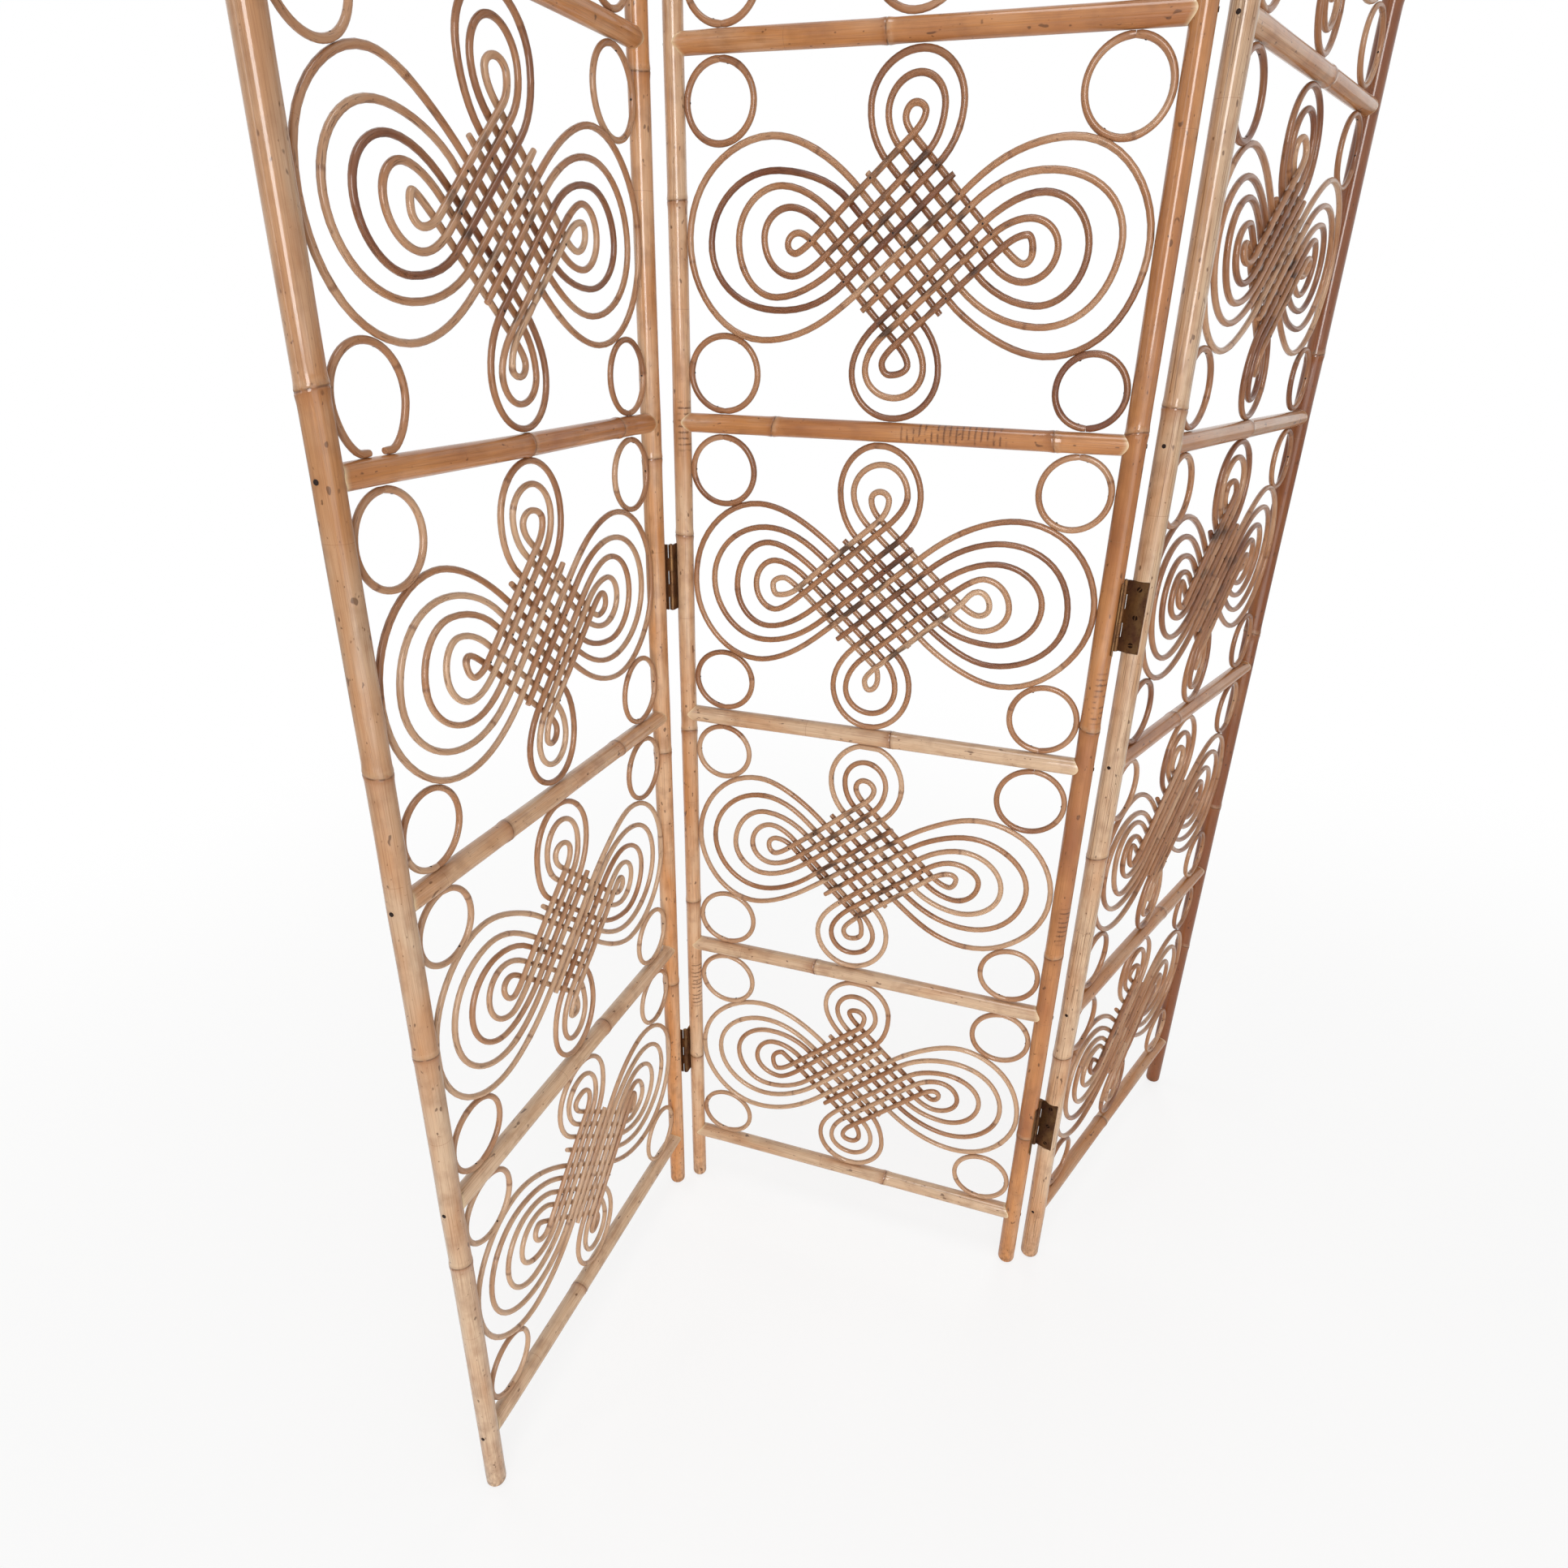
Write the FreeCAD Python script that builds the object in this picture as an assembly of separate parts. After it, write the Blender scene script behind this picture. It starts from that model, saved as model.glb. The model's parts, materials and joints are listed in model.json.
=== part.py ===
import FreeCAD, Part
import math
import os

# A free-standing cane screen of three panels in a zig-zag. Each panel has two posts, coped rails,
# one cane knot per bay and four cane rings in the corners of each bay. Butt hinges join the panels.
# Millimetres. The middle panel lies along X, its front faces -Y, and the floor is at Z = 0.

# Overall sizes
bay_count = 5
bay_height = 340.0
post_spacing = 475.0
foot_height = 90.0
post_horn = 40.0
left_fold_deg = 88.4
right_fold_deg = 69.3

# Poles
slim_post_diameter = 20.0
post_diameter = 22.0
stout_post_diameter = 24.0
post_end_round = 6.0
rail_diameter = 20.0
cope_clearance = 0.2
pole_node_rise = 0.6
pole_node_length = 11.0
post_node_shares = ((0.30, 1.29, 2.71, 3.70, 4.28), (0.71, 1.72, 2.29, 3.31, 4.73))
rail_node_shares = ((0.30, 0.66), (0.27,), (0.63,), (0.24, 0.70), (0.36, 0.74), (0.28, 0.62))

# Cane work
cane_diameter = 7.0
contact_gap = 0.3
strand_gap = 0.5
butt_gap = 0.4
lattice_width = 185.0
lattice_height = 161.0
cut_end_length = 6.0
side_loop_count = 5
end_loop_count = 3
side_loop_height_share = 0.524
side_reach_shares = (0.21, 0.39, 0.595, 0.82, 1.0)
side_height_shares = (0.12, 0.305, 0.505, 0.725, 1.0)
side_belly_shares = (0.65, 0.46, 0.43, 0.37, 0.37)
end_loop_width_share = 0.26
end_reach_shares = (0.395, 0.73, 1.0)
end_width_shares = (0.24, 0.62, 1.0)
end_belly_shares = (0.66, 0.47, 0.36)
butt_place_shares = (0.30, 0.72, 0.36, 0.50)

# Hinges
hinge_count = 3
hinge_height = 76.0
hinge_level_share = 0.46
leaf_width = 24.0
leaf_thickness = 1.6
pin_diameter = 3.0
pin_tip = 0.8
pin_clearance = 0.05
knuckle_count = 5
knuckle_gap = 0.2
knuckle_clearance = 0.3
line_gap = 2.0
pin_stand_off = 3.0
seat_clearance = 0.1

# Screws and nails
screw_count = 3
screw_end_share = 0.11
screw_head_diameter = 6.0
screw_shank_diameter = 3.0
screw_length = 15.0
nail_shank_diameter = 2.2
nail_head_diameter = 4.6
nail_head_thickness = 1.0
nail_length = 48.0
nail_set_depth = 0.3
fastener_clearance = 0.1
cut_overrun = 2.0

# Sizes that follow from the ones above
rail_radius = rail_diameter / 2
cane_radius = cane_diameter / 2
pin_radius = pin_diameter / 2
knuckle_radius = pin_radius + leaf_thickness
screw_shank_radius = screw_shank_diameter / 2
screw_head_radius = screw_head_diameter / 2
nail_shank_radius = nail_shank_diameter / 2
nail_head_radius = nail_head_diameter / 2
post_height = foot_height + bay_count * bay_height + post_horn
strand_count = side_loop_count + end_loop_count + 1
middle_strand = (strand_count + 1) / 2
strand_step_x = lattice_width / 2 / (strand_count - 1)
strand_step_z = lattice_height / 2 / (strand_count - 1)
layer_offset = (cane_diameter + strand_gap) / 2

axis_x = FreeCAD.Vector(1, 0, 0)
axis_y = FreeCAD.Vector(0, 1, 0)
axis_z = FreeCAD.Vector(0, 0, 1)
full_turn_deg = 360
quarter_turn_deg = 90


def at(x, y, z):
    return FreeCAD.Vector(x, y, z)


def rod(radius, start, direction, length):
    return Part.makeCylinder(radius, length, start, direction)


def block(low, high):
    size = high - low
    return Part.makeBox(size.x, size.y, size.z, low)


def revolved(edges):
    face = Part.Face(Part.Wire(edges))
    return face.revolve(at(0, 0, 0), axis_z, full_turn_deg)


def outline(points):
    return [Part.makeLine(a, b) for a, b in zip(points, points[1:] + points[:1])]


# Poles

def node_swell(radius, level):
    low = at(radius, 0, level - pole_node_length / 2)
    crest = at(radius + pole_node_rise, 0, level)
    high = at(radius, 0, level + pole_node_length / 2)
    return low, high, Part.Arc(low, crest, high).toShape()


def pole(radius, length, end_round, node_levels):
    """A round pole standing on the origin, with a swell at each node and rounded ends."""
    edges = []
    corner = end_round * (1 - math.sqrt(0.5))
    here = at(radius, 0, 0)
    if end_round > 0:
        rim = at(radius - end_round, 0, 0)
        here = at(radius, 0, end_round)
        edges.append(Part.makeLine(at(0, 0, 0), rim))
        edges.append(Part.Arc(rim, at(radius - corner, 0, corner), here).toShape())
    else:
        edges.append(Part.makeLine(at(0, 0, 0), here))
    for level in sorted(node_levels):
        low, high, swell = node_swell(radius, level)
        edges.append(Part.makeLine(here, low))
        edges.append(swell)
        here = high
    shoulder = at(radius, 0, length - end_round)
    edges.append(Part.makeLine(here, shoulder))
    rim = at(radius - end_round, 0, length)
    if end_round > 0:
        edges.append(Part.Arc(shoulder, at(radius - corner, 0, length - corner), rim).toShape())
    top = at(0, 0, length)
    edges.append(Part.makeLine(rim, top))
    edges.append(Part.makeLine(top, at(0, 0, 0)))
    return revolved(edges)


def rail_levels():
    return [foot_height + bay_height * step for step in range(bay_count + 1)]


def hinge_levels():
    low = foot_height + hinge_level_share * bay_height
    high = foot_height + bay_count * bay_height - hinge_level_share * bay_height
    step = (high - low) / (hinge_count - 1)
    return [low + step * count for count in range(hinge_count)]


def nail_hole(post_x, outward, level, radius):
    start = at(post_x + outward * radius, 0, level)
    inward = axis_x * -outward
    shank = rod(nail_shank_radius + fastener_clearance, start, inward, nail_length + cut_overrun)
    seat_depth = nail_set_depth + nail_head_thickness + fastener_clearance
    head = rod(nail_head_radius + fastener_clearance, start, inward, seat_depth)
    return shank.fuse(head)


def nail(post_x, outward, level, radius):
    """A flat-headed nail through a post into a rail's end, its head set just under the surface."""
    tip = nail_shank_diameter
    head_top = radius - nail_set_depth
    profile = outline([
        at(0, 0, 0),
        at(nail_head_radius, 0, 0),
        at(nail_head_radius, 0, -nail_head_thickness),
        at(nail_shank_radius, 0, -nail_head_thickness),
        at(nail_shank_radius, 0, -nail_length + tip),
        at(0, 0, -nail_length),
    ])
    body = revolved(profile)
    body.rotate(at(0, 0, 0), axis_y, outward * quarter_turn_deg)
    body.translate(at(post_x + outward * head_top, 0, level))
    return body


def hinge_seat(post_x, outward, radius, flat, level):
    """The flat cut for a hinge leaf on a post's outer side, with the holes for its screws."""
    half = hinge_height / 2 + seat_clearance
    reach = radius + cut_overrun
    near = post_x + outward * flat
    far = post_x + outward * reach
    low = at(min(near, far), -reach, level - half)
    high = at(max(near, far), reach, level + half)
    cuts = [block(low, high)]
    for screw_level in screw_levels(level):
        start = at(far, 0, screw_level)
        depth = reach - flat + screw_length
        cuts.append(rod(screw_shank_radius + fastener_clearance, start, axis_x * -outward, depth))
    return cuts


def post(post_x, outward, radius, node_shares, joint):
    """A post with its nail holes and, where it carries hinges, their seats."""
    levels = [foot_height + share * bay_height for share in node_shares if share < bay_count]
    body = pole(radius, post_height, post_end_round, levels)
    body.translate(at(post_x, 0, 0))
    cuts = [nail_hole(post_x, outward, level, radius) for level in rail_levels()]
    if joint:
        for level in hinge_levels():
            cuts += hinge_seat(post_x, outward, radius, joint.flat, level)
    return body.cut(Part.makeCompound(cuts))


def rail(level, left_radius, right_radius, node_shares):
    """A rail whose ends are coped to sit round the posts, with a hole for the nail at each end."""
    half = post_spacing / 2
    body = pole(rail_radius, post_spacing, 0, [share * post_spacing for share in node_shares])
    body.rotate(at(0, 0, 0), axis_y, quarter_turn_deg)
    body.translate(at(-half, 0, level))
    cuts = []
    for post_x, outward, radius in ((-half, -1, left_radius), (half, 1, right_radius)):
        foot = at(post_x, 0, level - rail_diameter)
        cuts.append(rod(radius + cope_clearance, foot, axis_z, 2 * rail_diameter))
        cuts.append(nail_hole(post_x, outward, level, radius))
    return body.cut(Part.makeCompound(cuts))


# Cane paths: straight runs in the lattice and loops of tangent arcs outside it

def lattice_place(front_strand, back_strand):
    across = front_strand + back_strand - 2 * middle_strand
    upward = back_strand - front_strand
    return across * strand_step_x, upward * strand_step_z


def lattice_heading():
    run = math.hypot(strand_step_x, strand_step_z)
    return strand_step_x / run, strand_step_z / run


def loop_keys(side, number, room):
    """Places and headings along one loop, from its front strand to its back strand."""
    head_x, head_z = lattice_heading()
    index = number - 1
    sideways = side in ("left", "right")
    if sideways:
        apex = lattice_width / 2
        span = room["side"] - apex
        reach = apex + span * side_reach_shares[index]
        width = room["side_height"] * side_height_shares[index]
        apex_u = apex + (reach - apex) * side_belly_shares[index]
        start_u, start_v = lattice_place(number, 1)
        places = [(start_u, start_v), (-apex_u, -width), (-reach, 0), (-apex_u, width), (start_u, -start_v)]
        headings = [(-head_x, -head_z), (-1, 0), (0, 1), (1, 0), (head_x, -head_z)]
    else:
        apex = lattice_height / 2
        span = room["end"] - apex
        reach = apex + span * end_reach_shares[index]
        width = room["end_width"] * end_width_shares[index]
        apex_v = apex + (reach - apex) * end_belly_shares[index]
        start_u, start_v = lattice_place(number, strand_count)
        places = [(start_u, start_v), (width, apex_v), (0, reach), (-width, apex_v), (-start_u, start_v)]
        headings = [(head_x, head_z), (0, 1), (-1, 0), (0, -1), (head_x, -head_z)]
    turn = -1 if side in ("right", "bottom") else 1
    flat = [at(turn * x, 0, turn * z) for x, z in places]
    steps = len(flat) - 1
    depths = [-layer_offset * math.cos(math.pi * count / steps) for count in range(steps + 1)]
    keys = []
    for count, (place, (x, z)) in enumerate(zip(flat, headings)):
        slope = 0.0
        if 0 < count < steps:
            length = (flat[count + 1] - place).Length + (place - flat[count - 1]).Length
            slope = (depths[count + 1] - depths[count - 1]) / length
        heading = at(turn * x, slope, turn * z)
        keys.append((at(place.x, depths[count], place.z), heading.normalize()))
    return keys


def backwards(keys):
    return [(place, heading * -1) for place, heading in reversed(keys)]


def arc_between(start, corner, end):
    middle = (start + end) * 0.5
    half_chord = (end - start).Length / 2
    leg = (corner - start).Length
    lean = (corner - middle).Length
    bulge = half_chord * (leg - half_chord) / lean
    return Part.Arc(start, middle + (corner - middle) * (bulge / lean), end).toShape()


def joined(first, second):
    """A straight edge between two keys in line, or else two tangent arcs."""
    (start, leaving), (end, arriving) = first, second
    span = end - start
    straight_share = 1e-9
    bent = max(span.cross(leaving).Length, span.cross(arriving).Length)
    if bent < straight_share * span.Length:
        return [Part.makeLine(start, end)]
    both = leaving + arriving
    square = 2 * (leaving.dot(arriving) - 1)
    linear = -2 * span.dot(both)
    constant = span.dot(span)
    leg = (-linear - math.sqrt(linear * linear - 4 * square * constant)) / (2 * square)
    out = start + leaving * leg
    back = end - arriving * leg
    meet = (out + back) * 0.5
    return [arc_between(start, out, meet), arc_between(meet, back, end)]


def strand_point(front, number, share, offset):
    """A place on a lattice strand, at a share of its length, moved on by an offset along it."""
    head_x, head_z = lattice_heading()
    last = 1 + (strand_count - 1) * share
    if front:
        x, z = lattice_place(number, last)
        return at(x + head_x * offset, -layer_offset, z + head_z * offset)
    x, z = lattice_place(last, number)
    return at(x + head_x * offset, layer_offset, z - head_z * offset)


def cane_keys(room):
    """The six canes of a knot, each as a list of places and headings from one cut end to the other."""
    head_x, head_z = lattice_heading()
    north_east = at(head_x, 0, head_z)
    south_east = at(head_x, 0, -head_z)
    canes = []
    for number in range(1, end_loop_count + 1):
        share = butt_place_shares[number - 1]
        cut_strand = strand_count + 1 - number
        keys = [(strand_point(True, cut_strand, share, butt_gap / 2), north_east)]
        keys += loop_keys("right", number, room)
        keys += backwards(loop_keys("top", number, room))
        keys += loop_keys("left", number, room)
        keys += backwards(loop_keys("bottom", number, room))
        keys.append((strand_point(True, cut_strand, share, -butt_gap / 2), north_east))
        canes.append(keys)
    open_number = end_loop_count + 1
    for side, sign in (("left", -1), ("right", 1)):
        strand = open_number if sign < 0 else strand_count + 1 - open_number
        share = 1 if sign < 0 else 0
        keys = [(strand_point(True, strand, share, -sign * cut_end_length), north_east * sign)]
        keys += loop_keys(side, open_number, room)
        keys.append((strand_point(False, strand, share, -sign * cut_end_length), south_east * -sign))
        canes.append(keys)
    outer = side_loop_count
    share = butt_place_shares[-1]
    keys = [(strand_point(True, outer, share, butt_gap / 2), north_east)]
    keys += loop_keys("right", outer, room)
    keys += backwards(loop_keys("left", outer, room))
    keys.append((strand_point(True, outer, share, -butt_gap / 2), north_east))
    canes.append(keys)
    return canes


def cane_path(keys):
    edges = []
    for first, second in zip(keys, keys[1:]):
        edges += joined(first, second)
    return Part.Wire(edges)


def cane(path, start, heading):
    section = Part.Wire([Part.makeCircle(cane_radius, start, heading)])
    return path.makePipeShell([section], True, False)


def knot(room, middle_x):
    """The six canes of one knot, centred on the origin's height, and the largest loops' path."""
    keys = cane_keys(room)
    paths = [cane_path(one) for one in keys]
    solids = [cane(path, one[0][0], one[0][1]) for path, one in zip(paths, keys)]
    for shape in solids + paths:
        shape.translate(at(middle_x, 0, 0))
    return solids, paths


def corner_ring(outer_path, post_x, side, radius):
    """The ring in a bay's upper corner: it touches the post, the rail and the knot's largest loop."""
    wall = post_x - side * (radius + contact_gap)
    ceiling = bay_height / 2 - rail_radius - contact_gap
    smallest = cane_diameter
    largest = bay_height / 2
    wanted = cane_diameter + contact_gap
    halvings = 40
    for count in range(halvings):
        bend = (smallest + largest) / 2
        centre = at(wall - side * (bend + cane_radius), 0, ceiling - bend - cane_radius)
        circle = Part.makeCircle(bend, centre, axis_y)
        clear = circle.distToShape(outer_path)[0]
        inside = Part.Vertex(centre).distToShape(outer_path)[0] > bend
        if inside and clear > wanted:
            smallest = bend
        else:
            largest = bend
    return smallest, at(wall - side * (smallest + cane_radius), 0, ceiling - smallest - cane_radius)


def ring(bend, centre, up):
    """A bent cane ring whose butt joint sits where it meets the rail."""
    gap_deg = math.degrees(butt_gap / bend)
    sweep_deg = full_turn_deg - gap_deg
    body = Part.makeTorus(bend, cane_radius, at(0, 0, 0), axis_z, 0, full_turn_deg, sweep_deg)
    body.rotate(at(0, 0, 0), axis_z, quarter_turn_deg + gap_deg / 2)
    body.rotate(at(0, 0, 0), axis_x, quarter_turn_deg * up)
    body.translate(at(centre.x, 0, up * centre.z))
    return body


# Hinges, built with the two panels in line and the pin on the Z axis

def knuckle_spans(three_knuckles):
    pitch = hinge_height / knuckle_count
    first = 0 if three_knuckles else 1
    bottom = -hinge_height / 2
    feet = [bottom + pitch * count for count in range(first, knuckle_count, 2)]
    return [(foot, foot + pitch) for foot in feet]


def screw_levels(level):
    end = hinge_height * (0.5 - screw_end_share)
    step = 2 * end / (screw_count - 1)
    return [level - end + step * count for count in range(screw_count)]


def hinge_leaf(hand, toward, three_knuckles, screw_line):
    """A leaf on the post to one hand of the pin; the plate runs toward the panels' middle plane."""
    face = hand * pin_radius
    back = hand * knuckle_radius
    edge = toward * leaf_width
    half = hinge_height / 2
    low = at(min(face, back), min(0, edge), -half)
    high = at(max(face, back), max(0, edge), half)
    plate = block(low, high)
    cuts = []
    for low, high in knuckle_spans(not three_knuckles):
        start = at(0, 0, low - knuckle_gap / 2)
        cuts.append(rod(knuckle_radius + knuckle_clearance, start, axis_z, high - low + knuckle_gap))
    plate = plate.cut(Part.makeCompound(cuts))
    barrels = []
    for low, high in knuckle_spans(three_knuckles):
        start = at(0, 0, low + knuckle_gap / 2)
        barrels.append(rod(knuckle_radius, start, axis_z, high - low - knuckle_gap))
    body = plate.fuse(barrels)
    bore_foot = at(0, 0, -half - cut_overrun)
    holes = [rod(pin_radius + pin_clearance, bore_foot, axis_z, hinge_height + 2 * cut_overrun)]
    hole_radius = screw_shank_radius + fastener_clearance
    hole_length = leaf_thickness + cut_overrun
    for level in screw_levels(0):
        start = at(face, toward * screw_line, level)
        holes.append(rod(hole_radius, start, axis_x * hand, hole_length))
        holes.append(countersink(start, hand))
    return body.cut(Part.makeCompound(holes)).removeSplitter()


def countersink(start, hand):
    mouth = screw_head_radius + fastener_clearance
    throat = screw_shank_radius + fastener_clearance
    return Part.makeCone(mouth, throat, screw_head_radius - screw_shank_radius, start, axis_x * hand)


def hinge_screw(hand, toward, screw_line, level):
    """A countersunk wood screw through a leaf into its post."""
    head = screw_head_radius - screw_shank_radius
    body = revolved(outline([
        at(0, 0, 0),
        at(screw_head_radius, 0, 0),
        at(screw_shank_radius, 0, head),
        at(screw_shank_radius, 0, screw_length - screw_shank_diameter),
        at(0, 0, screw_length),
    ]))
    body.rotate(at(0, 0, 0), axis_y, hand * quarter_turn_deg)
    body.translate(at(hand * pin_radius, toward * screw_line, level))
    return body


def hinge_pin():
    length = hinge_height + 2 * pin_tip
    body = rod(pin_radius, at(0, 0, -length / 2), axis_z, length)
    rims = [edge for edge in body.Edges if edge.Length < length and len(edge.Vertexes) == 1]
    return body.makeFillet(pin_tip, rims)


class Joint:
    """Where two posts meet: how far the pin stands from each post's axis, in line and across."""

    def __init__(self, radius, other_radius, toward):
        self.along = (radius + other_radius + line_gap) / 2
        self.across = max(radius, other_radius) + pin_stand_off
        self.toward = toward
        self.flat = self.along - knuckle_radius - seat_clearance

    def pin_place(self, post_x, outward):
        return at(post_x + outward * self.along, -self.toward * self.across, 0)

    def hinge_places(self, post_x, outward):
        return [self.pin_place(post_x, outward) + at(0, 0, level) for level in hinge_levels()]


def hinge_leaves(joint, post_x, outward, three_knuckles):
    leaf = hinge_leaf(-outward, joint.toward, three_knuckles, joint.across)
    return [moved(leaf, place) for place in joint.hinge_places(post_x, outward)]


def hinge_screws(joint, post_x, outward):
    set_of_screws = [hinge_screw(-outward, joint.toward, joint.across, level) for level in screw_levels(0)]
    places = joint.hinge_places(post_x, outward)
    return [moved(screw, place) for place in places for screw in set_of_screws]


def hinge_pins(joint, post_x, outward):
    return [moved(hinge_pin(), place) for place in joint.hinge_places(post_x, outward)]


# Panels

def panel_nodes(name, posts, turn):
    """All pieces of one panel about its own middle, but for its hinges, as node name to solids."""
    half = post_spacing / 2
    nodes = {}
    sides = [(sign * half, sign) + one for sign, one in zip((-1, 1), posts)]
    for count, (post_x, outward, post_name, radius, joint) in enumerate(sides):
        shares = post_node_shares[(count + turn) % len(post_node_shares)]
        nodes[post_name] = [post(post_x, outward, radius, shares, joint)]
    left_radius, right_radius = [radius for post_name, radius, joint in posts]
    nails = []
    for count, level in enumerate(rail_levels()):
        shares = rail_node_shares[(count + turn) % len(rail_node_shares)]
        nodes[f"{name}_rail_{count + 1}"] = [rail(level, left_radius, right_radius, shares)]
        nails.append(nail(-half, -1, level, left_radius))
        nails.append(nail(half, 1, level, right_radius))
    nodes[f"{name}_rail_nails"] = nails
    nodes.update(cane_nodes(name, left_radius, right_radius))
    return nodes


def cane_nodes(name, left_radius, right_radius):
    """The knots and the corner rings of one panel."""
    middle_x = (left_radius - right_radius) / 2
    room = {
        "side": (post_spacing - left_radius - right_radius) / 2 - contact_gap - cane_radius,
        "side_height": side_loop_height_share * bay_height / 2,
        "end": bay_height / 2 - rail_radius - contact_gap - cane_radius,
        "end_width": end_loop_width_share * bay_height / 2,
    }
    solids, paths = knot(room, middle_x)
    half = post_spacing / 2
    corners = []
    for post_x, side, radius in ((-half, -1, left_radius), (half, 1, right_radius)):
        bend, centre = corner_ring(paths[-1], post_x, side, radius)
        corners += [ring(bend, centre, 1), ring(bend, centre, -1)]
    report_canes(name, paths, solids)
    nodes = {}
    rings = []
    for bay in range(bay_count):
        lift = at(0, 0, foot_height + bay_height * (bay + 0.5))
        nodes[f"{name}_knot_{bay + 1}"] = [moved(one, lift) for one in solids]
        rings += [moved(one, lift) for one in corners]
    nodes[f"{name}_rings"] = rings
    return nodes


def moved(shape, lift):
    copy = shape.copy()
    copy.translate(lift)
    return copy


def report_canes(name, paths, solids):
    """Print the least gap between canes, measured on points, and how true the swept volumes are."""
    spacing = cane_diameter
    lines = [path.discretize(Distance=spacing) for path in paths]
    least = bay_height
    for count, line in enumerate(lines):
        for other in lines[count + 1:]:
            for point in line:
                least = min(least, min(point.distanceToPoint(far) for far in other))
    section = math.pi * cane_radius ** 2
    errors = [abs(solid.Volume / (path.Length * section) - 1) for path, solid in zip(paths, solids)]
    print(name, "cane gap on points", round(least - cane_diameter, 2), "volume error", round(max(errors), 5))


def main():
    os.makedirs("parts", exist_ok=True)
    slim = slim_post_diameter / 2
    common = post_diameter / 2
    stout = stout_post_diameter / 2
    left_joint = Joint(common, slim, 1)
    right_joint = Joint(common, stout, -1)
    half = post_spacing / 2

    left_posts = (("left_outer_post", common, None), ("left_inner_post", common, left_joint))
    center_posts = (("center_left_post", slim, left_joint), ("center_right_post", common, right_joint))
    right_posts = (("right_inner_post", stout, right_joint), ("right_outer_post", common, None))
    left = panel_nodes("left", left_posts, 0)
    center = panel_nodes("center", center_posts, 1)
    right = panel_nodes("right", right_posts, 2)

    left["left_hinge_leaves"] = hinge_leaves(left_joint, half, 1, False)
    left["left_hinge_screws"] = hinge_screws(left_joint, half, 1)
    center["center_left_hinge_leaves"] = hinge_leaves(left_joint, -half, -1, True)
    center["center_left_hinge_pins"] = hinge_pins(left_joint, -half, -1)
    center["center_right_hinge_leaves"] = hinge_leaves(right_joint, half, 1, False)
    center["center_hinge_screws"] = hinge_screws(left_joint, -half, -1) + hinge_screws(right_joint, half, 1)
    right["right_hinge_leaves"] = hinge_leaves(right_joint, -half, -1, True)
    right["right_hinge_screws"] = hinge_screws(right_joint, -half, -1)
    right["right_hinge_pins"] = hinge_pins(right_joint, -half, -1)

    left_pin = left_joint.pin_place(-half, -1)
    right_pin = right_joint.pin_place(half, 1)
    left_place = panel_place(left_joint.pin_place(half, 1), left_pin, left_fold_deg)
    right_place = panel_place(right_joint.pin_place(-half, -1), right_pin, right_fold_deg)
    far_left = left_place.multVec(at(-half, 0, 0))
    far_right = right_place.multVec(at(half, 0, 0))
    shift = at(-(far_left.x + far_right.x) / 2, -(far_left.y + far_right.y) / 2, 0)
    to_frame = FreeCAD.Placement(shift, FreeCAD.Rotation())

    for nodes, place in ((left, left_place), (center, FreeCAD.Placement()), (right, right_place)):
        for name, solids in nodes.items():
            whole = solids[0] if len(solids) == 1 else Part.makeCompound(solids)
            whole.Placement = to_frame.multiply(place).multiply(whole.Placement)
            whole.exportStep(f"parts/{name}.step")
    print("left hinge axis", left_pin + shift)
    print("right hinge axis", right_pin + shift)
    print("center left foot", at(-half, 0, 0) + shift)
    print("nodes", len(left) + len(center) + len(right))


def panel_place(own_pin, shared_pin, fold_deg):
    """Set a panel's own pin place on the shared pin and turn the panel about it."""
    turn = FreeCAD.Rotation(axis_z, fold_deg)
    return FreeCAD.Placement(shared_pin - turn.multVec(own_pin), turn)


main()
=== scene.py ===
import json
import math

import bmesh
import bpy
import numpy as np
from bpy.props import FloatProperty, FloatVectorProperty, IntProperty, PointerProperty
from bpy.types import Operator, Panel, PropertyGroup
from mathutils import Matrix, Vector


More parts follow.
